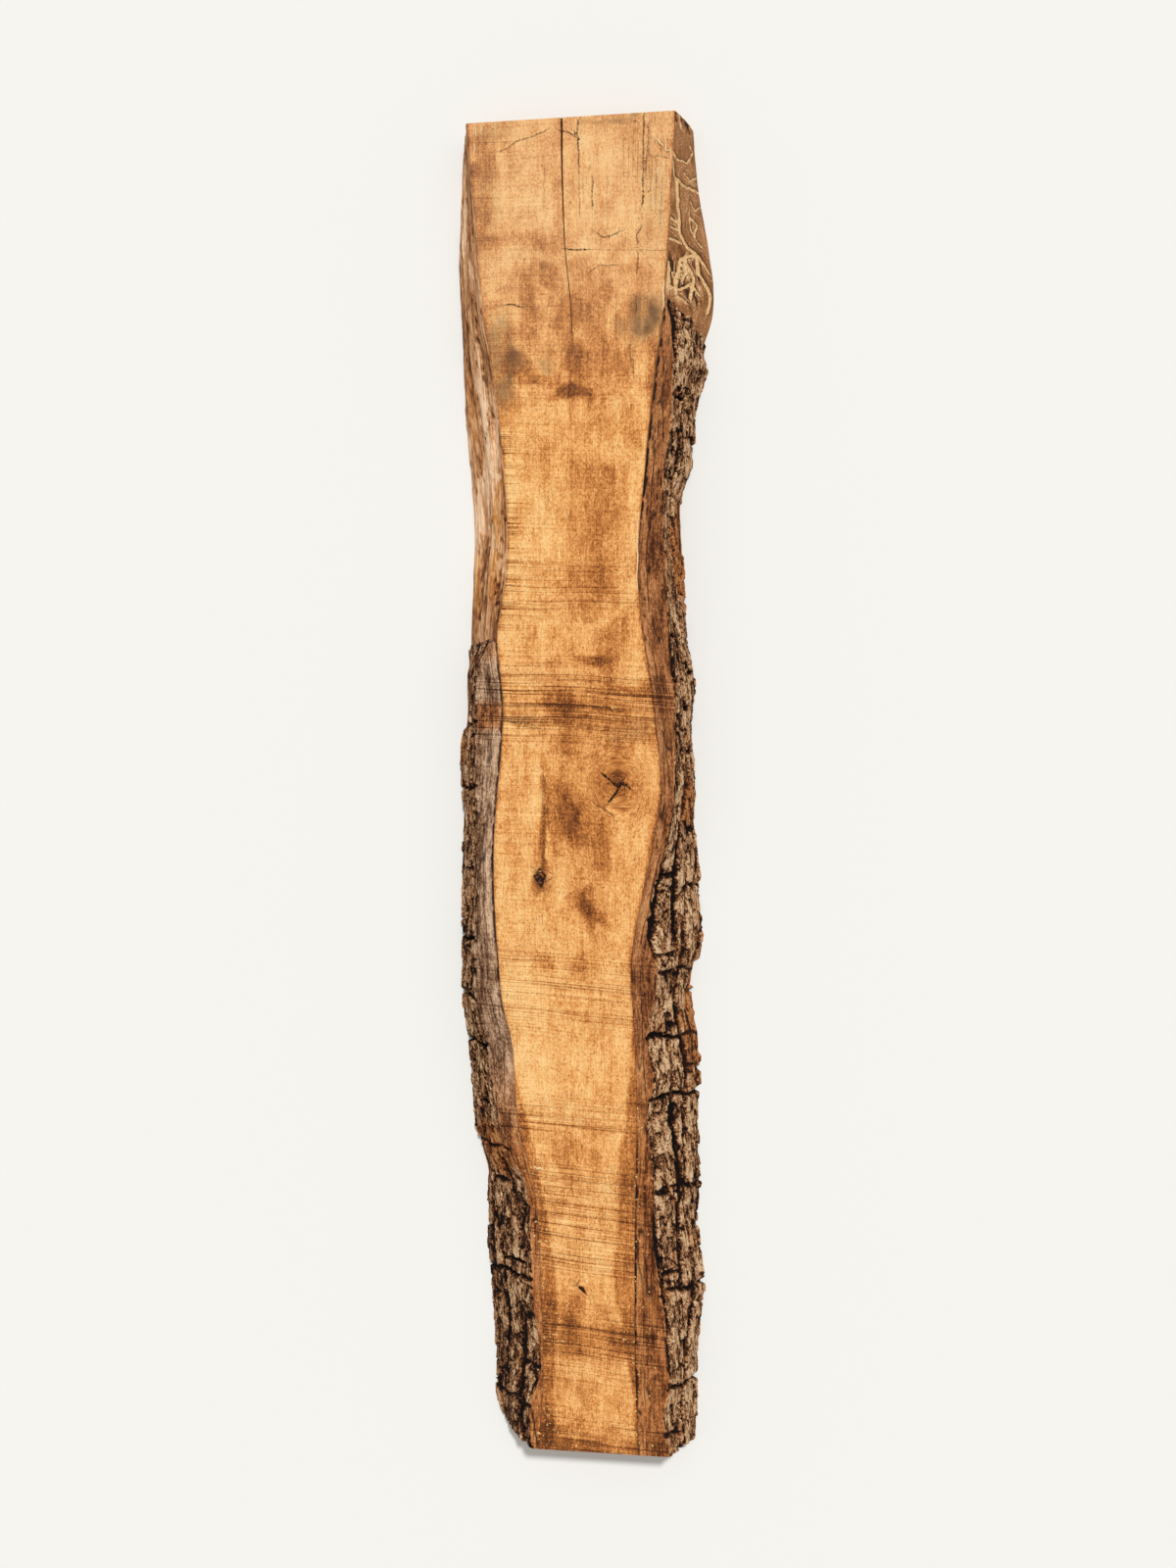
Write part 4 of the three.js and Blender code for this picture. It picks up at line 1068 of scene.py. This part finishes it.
outer_bark = furrowed_bark()
red_brown_band = sawn_inner_bark("red_brown_inner_bark", [
    (0.05, "#4a2410"), (0.3, "#834d29"), (0.55, "#b27344"), (0.9, "#dba069")], RIGHT_BARK["layer"])
bark_right = bark_strip("bark_right_strip", 1, rounded_edge(RIGHT_WOOD_FRONT, RIGHT_WOOD_BACK), RIGHT_BARK,
                        [outer_bark, red_brown_band])
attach(bark_right, "root")
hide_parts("bark_right")


# Bark on the left edge: the same corky plates, still close on the wood, from a little beyond the middle of
# the slab to the near end. Its sawn band has greyed to a dusty tan.
LEFT_BARK = {
    "front": [
        (260, -168), (180, -175), (-180, -174), (-350, -177), (-420, -160), (-490, -151), (-550, -136),
        (-605, -121), (-660, -92), (-780, -83), (-850, -82), (-900, -72), (-970, -70), (-1020, -84),
        (-1092, -84),
    ],
    "back": [
        (260, -204), (180, -205), (120, -203), (60, -211), (0, -211), (-60, -206), (-300, -208),
        (-360, -206), (-480, -192), (-600, -182), (-660, -168), (-780, -164), (-840, -158), (-960, -150),
        (-1020, -148), (-1092, -138),
    ],
    "far": (LEFT_BARK_STARTS, 230), "near": (-1092, -1056),
    "cracks": [102, -5, -258, -354, -431, -603, -814, -1019],
    "bared": [(0.85, 160, 0.4, 66), (0.98, -630, 0.2, 40)], "seams": [(236, -560, 0.8)], "seed": 3,
    # shade: painted shade laid over the plates of this strip
    "layer": 17, "shade": 0.07, "outer_shade": 0.17, "rusty": [(0.5, -610, 0.5, 50), (0.8, 60, 0.3, 30)],
    "seam_shade": [(250, 0.9), (-300, 0.9), (-420, 0.3), (-520, 0.1), (-1092, 0.1)],
}
greyed_band = sawn_inner_bark("greyed_inner_bark", [
    (0.05, "#492a15"), (0.3, "#876247"), (0.55, "#bf9a7a"), (0.9, "#ecc9a6")], LEFT_BARK["layer"])
bark_left = bark_strip("bark_left_strip", -1, rounded_edge(LEFT_WOOD_FRONT, LEFT_WOOD_BACK), LEFT_BARK,
                       [outer_bark, greyed_band])
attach(bark_left, "root")
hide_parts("bark_left")


# Sawdust: chips of pale wood that the blade left on the near half of the slab, lying loose beside the
# bark. Most are slivers 1.5 to 4 mm long.
CHIP_COUNT = 300
CHIP_STRETCH = (-1086, -500)
LONE_CHIPS = [(52, 125, 7), (71, 518, 4), (-70, -628, 6), (33, 300, 3), (60, -60, 3), (-20, -640, 3)]


def loose_chips(material):
    """Small six-sided slivers strewn at random, thickest beside the two edges of the wood. A unit block is
    sized, turned about the upright and set on the face for all the chips at once."""
    chance = np.random.default_rng(7)
    y = CHIP_STRETCH[0] + (CHIP_STRETCH[1] - CHIP_STRETCH[0]) * chance.random(CHIP_COUNT) ** 1.2
    stray = chance.normal(0, 19, CHIP_COUNT)
    beside_left = chance.random(CHIP_COUNT) < 0.55
    left, right = curve_through(LEFT_WOOD_FRONT)(y) + 14, curve_through(RIGHT_WOOD_FRONT)(y) + 4
    x = np.where(beside_left, left, right) + stray
    low, high = curve_through(LEFT_BARK["front"])(y) + 5, curve_through(RIGHT_BARK["front"])(y) - 5
    x = low + np.abs(high - np.abs(high - x) - low)
    longs = 1.4 + 2.8 * chance.random(CHIP_COUNT) ** 2
    lone_x, lone_y, lone_long = np.array(LONE_CHIPS, float).T
    x, y, longs = np.append(x, lone_x), np.append(y, lone_y), np.append(longs, lone_long)
    wide = longs * (0.3 + 0.4 * chance.random(len(x)))
    thick = 0.5 * wide + 0.9
    turn = 2 * np.pi * chance.random(len(x))
    block = np.array([(a, b, c) for c in (0, 1) for a, b in ((-1, -1), (1, -1), (1, 1), (-1, 1))], float)
    uneven = 1 + 0.5 * (chance.random((len(x), 8, 3)) - 0.5)
    along = 0.5 * longs[:, None] * block[:, 0] * uneven[..., 0]
    across = 0.5 * wide[:, None] * block[:, 1] * uneven[..., 1]
    up = THICK - 1.1 + thick[:, None] * block[:, 2] * uneven[..., 2]
    cos, sin = np.cos(turn)[:, None], np.sin(turn)[:, None]
    turned_x = x[:, None] + along * cos - across * sin
    turned_y = y[:, None] + along * sin + across * cos
    points = np.stack([turned_x, turned_y, up], axis=-1).reshape(-1, 3)
    sides = np.array([(0, 3, 2, 1), (4, 5, 6, 7), (0, 1, 5, 4), (1, 2, 6, 5), (2, 3, 7, 6), (3, 0, 4, 7)])
    quads = (sides[None] + 8 * np.arange(len(x))[:, None, None]).reshape(-1, 4)
    tone = np.repeat(0.35 + 0.4 * chance.random(len(x)), 8)
    fields = {"tone": tone, "girth": points * [1, 1, 0]}
    return mesh_object("sawdust_chips", points, quads, [], [material], np.zeros(len(quads)), fields)


sawdust = loose_chips(dry_bare_wood("fresh_sawdust", [
    (0.15, "#a3733a"), (0.5, "#d3a462"), (0.85, "#f3d08e")],
    {"fibre": (1.5, 3, 0, 0.5), "grit": (1, 2, 0, 0.3)}))
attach(sawdust, "root")


# Studio: a plain pale floor under the slab, a soft sun from beyond its far end and an even white sky.
# The camera looks down on the slab, from a little to the right of it, as the photograph does. Sizes here
# are in metres.
FLOOR_HALF = 12.0
CAMERA_AIM = (0.012, 0.0, THICK * MM)
CAMERA_DISTANCE = 1.9
CAMERA_TURN = math.radians(6.2)
CAMERA_LENS = 26.7
SUN_STRENGTH = 2.45
SUN_SOFTNESS = math.radians(7)
SUN_TILT = (math.radians(-38), math.radians(16), 0)
SKY_STRENGTH = 0.46

floor_mesh = bpy.data.meshes.new("floor")
floor_corners = [(FLOOR_HALF * a, FLOOR_HALF * b, 0) for a, b in ((-1, -1), (1, -1), (1, 1), (-1, 1))]
floor_mesh.from_pydata(floor_corners, [], [(0, 1, 2, 3)])
floor_material, _, floor_shader = dry_surface("pale_studio_floor", 0.9)
floor_shader.inputs["Base Color"].default_value = to_linear("#f1f0ec")
floor_mesh.materials.append(floor_material)
floor = bpy.data.objects.new("floor", floor_mesh)
bpy.context.collection.objects.link(floor)

sky = bpy.data.worlds.new("white_sky")
sky.use_nodes = True
sky.node_tree.nodes["Background"].inputs["Color"].default_value = (1.0, 0.995, 0.98, 1.0)
sky.node_tree.nodes["Background"].inputs["Strength"].default_value = SKY_STRENGTH
bpy.context.scene.world = sky

sun_light = bpy.data.lights.new("soft_sun", "SUN")
sun_light.energy = SUN_STRENGTH
sun_light.angle = SUN_SOFTNESS
sun = bpy.data.objects.new("soft_sun", sun_light)
sun.rotation_euler = SUN_TILT
bpy.context.collection.objects.link(sun)

camera_data = bpy.data.cameras.new("camera")
camera_data.sensor_width = 36.0
camera_data.lens = CAMERA_LENS
camera = bpy.data.objects.new("camera", camera_data)
camera.location = (CAMERA_AIM[0] + CAMERA_DISTANCE * math.sin(CAMERA_TURN), CAMERA_AIM[1],
                   CAMERA_AIM[2] + CAMERA_DISTANCE * math.cos(CAMERA_TURN))
camera.rotation_euler = (0.0, CAMERA_TURN, 0.0)
bpy.context.collection.objects.link(camera)
bpy.context.scene.camera = camera
bpy.context.scene.view_settings.view_transform = "Standard"
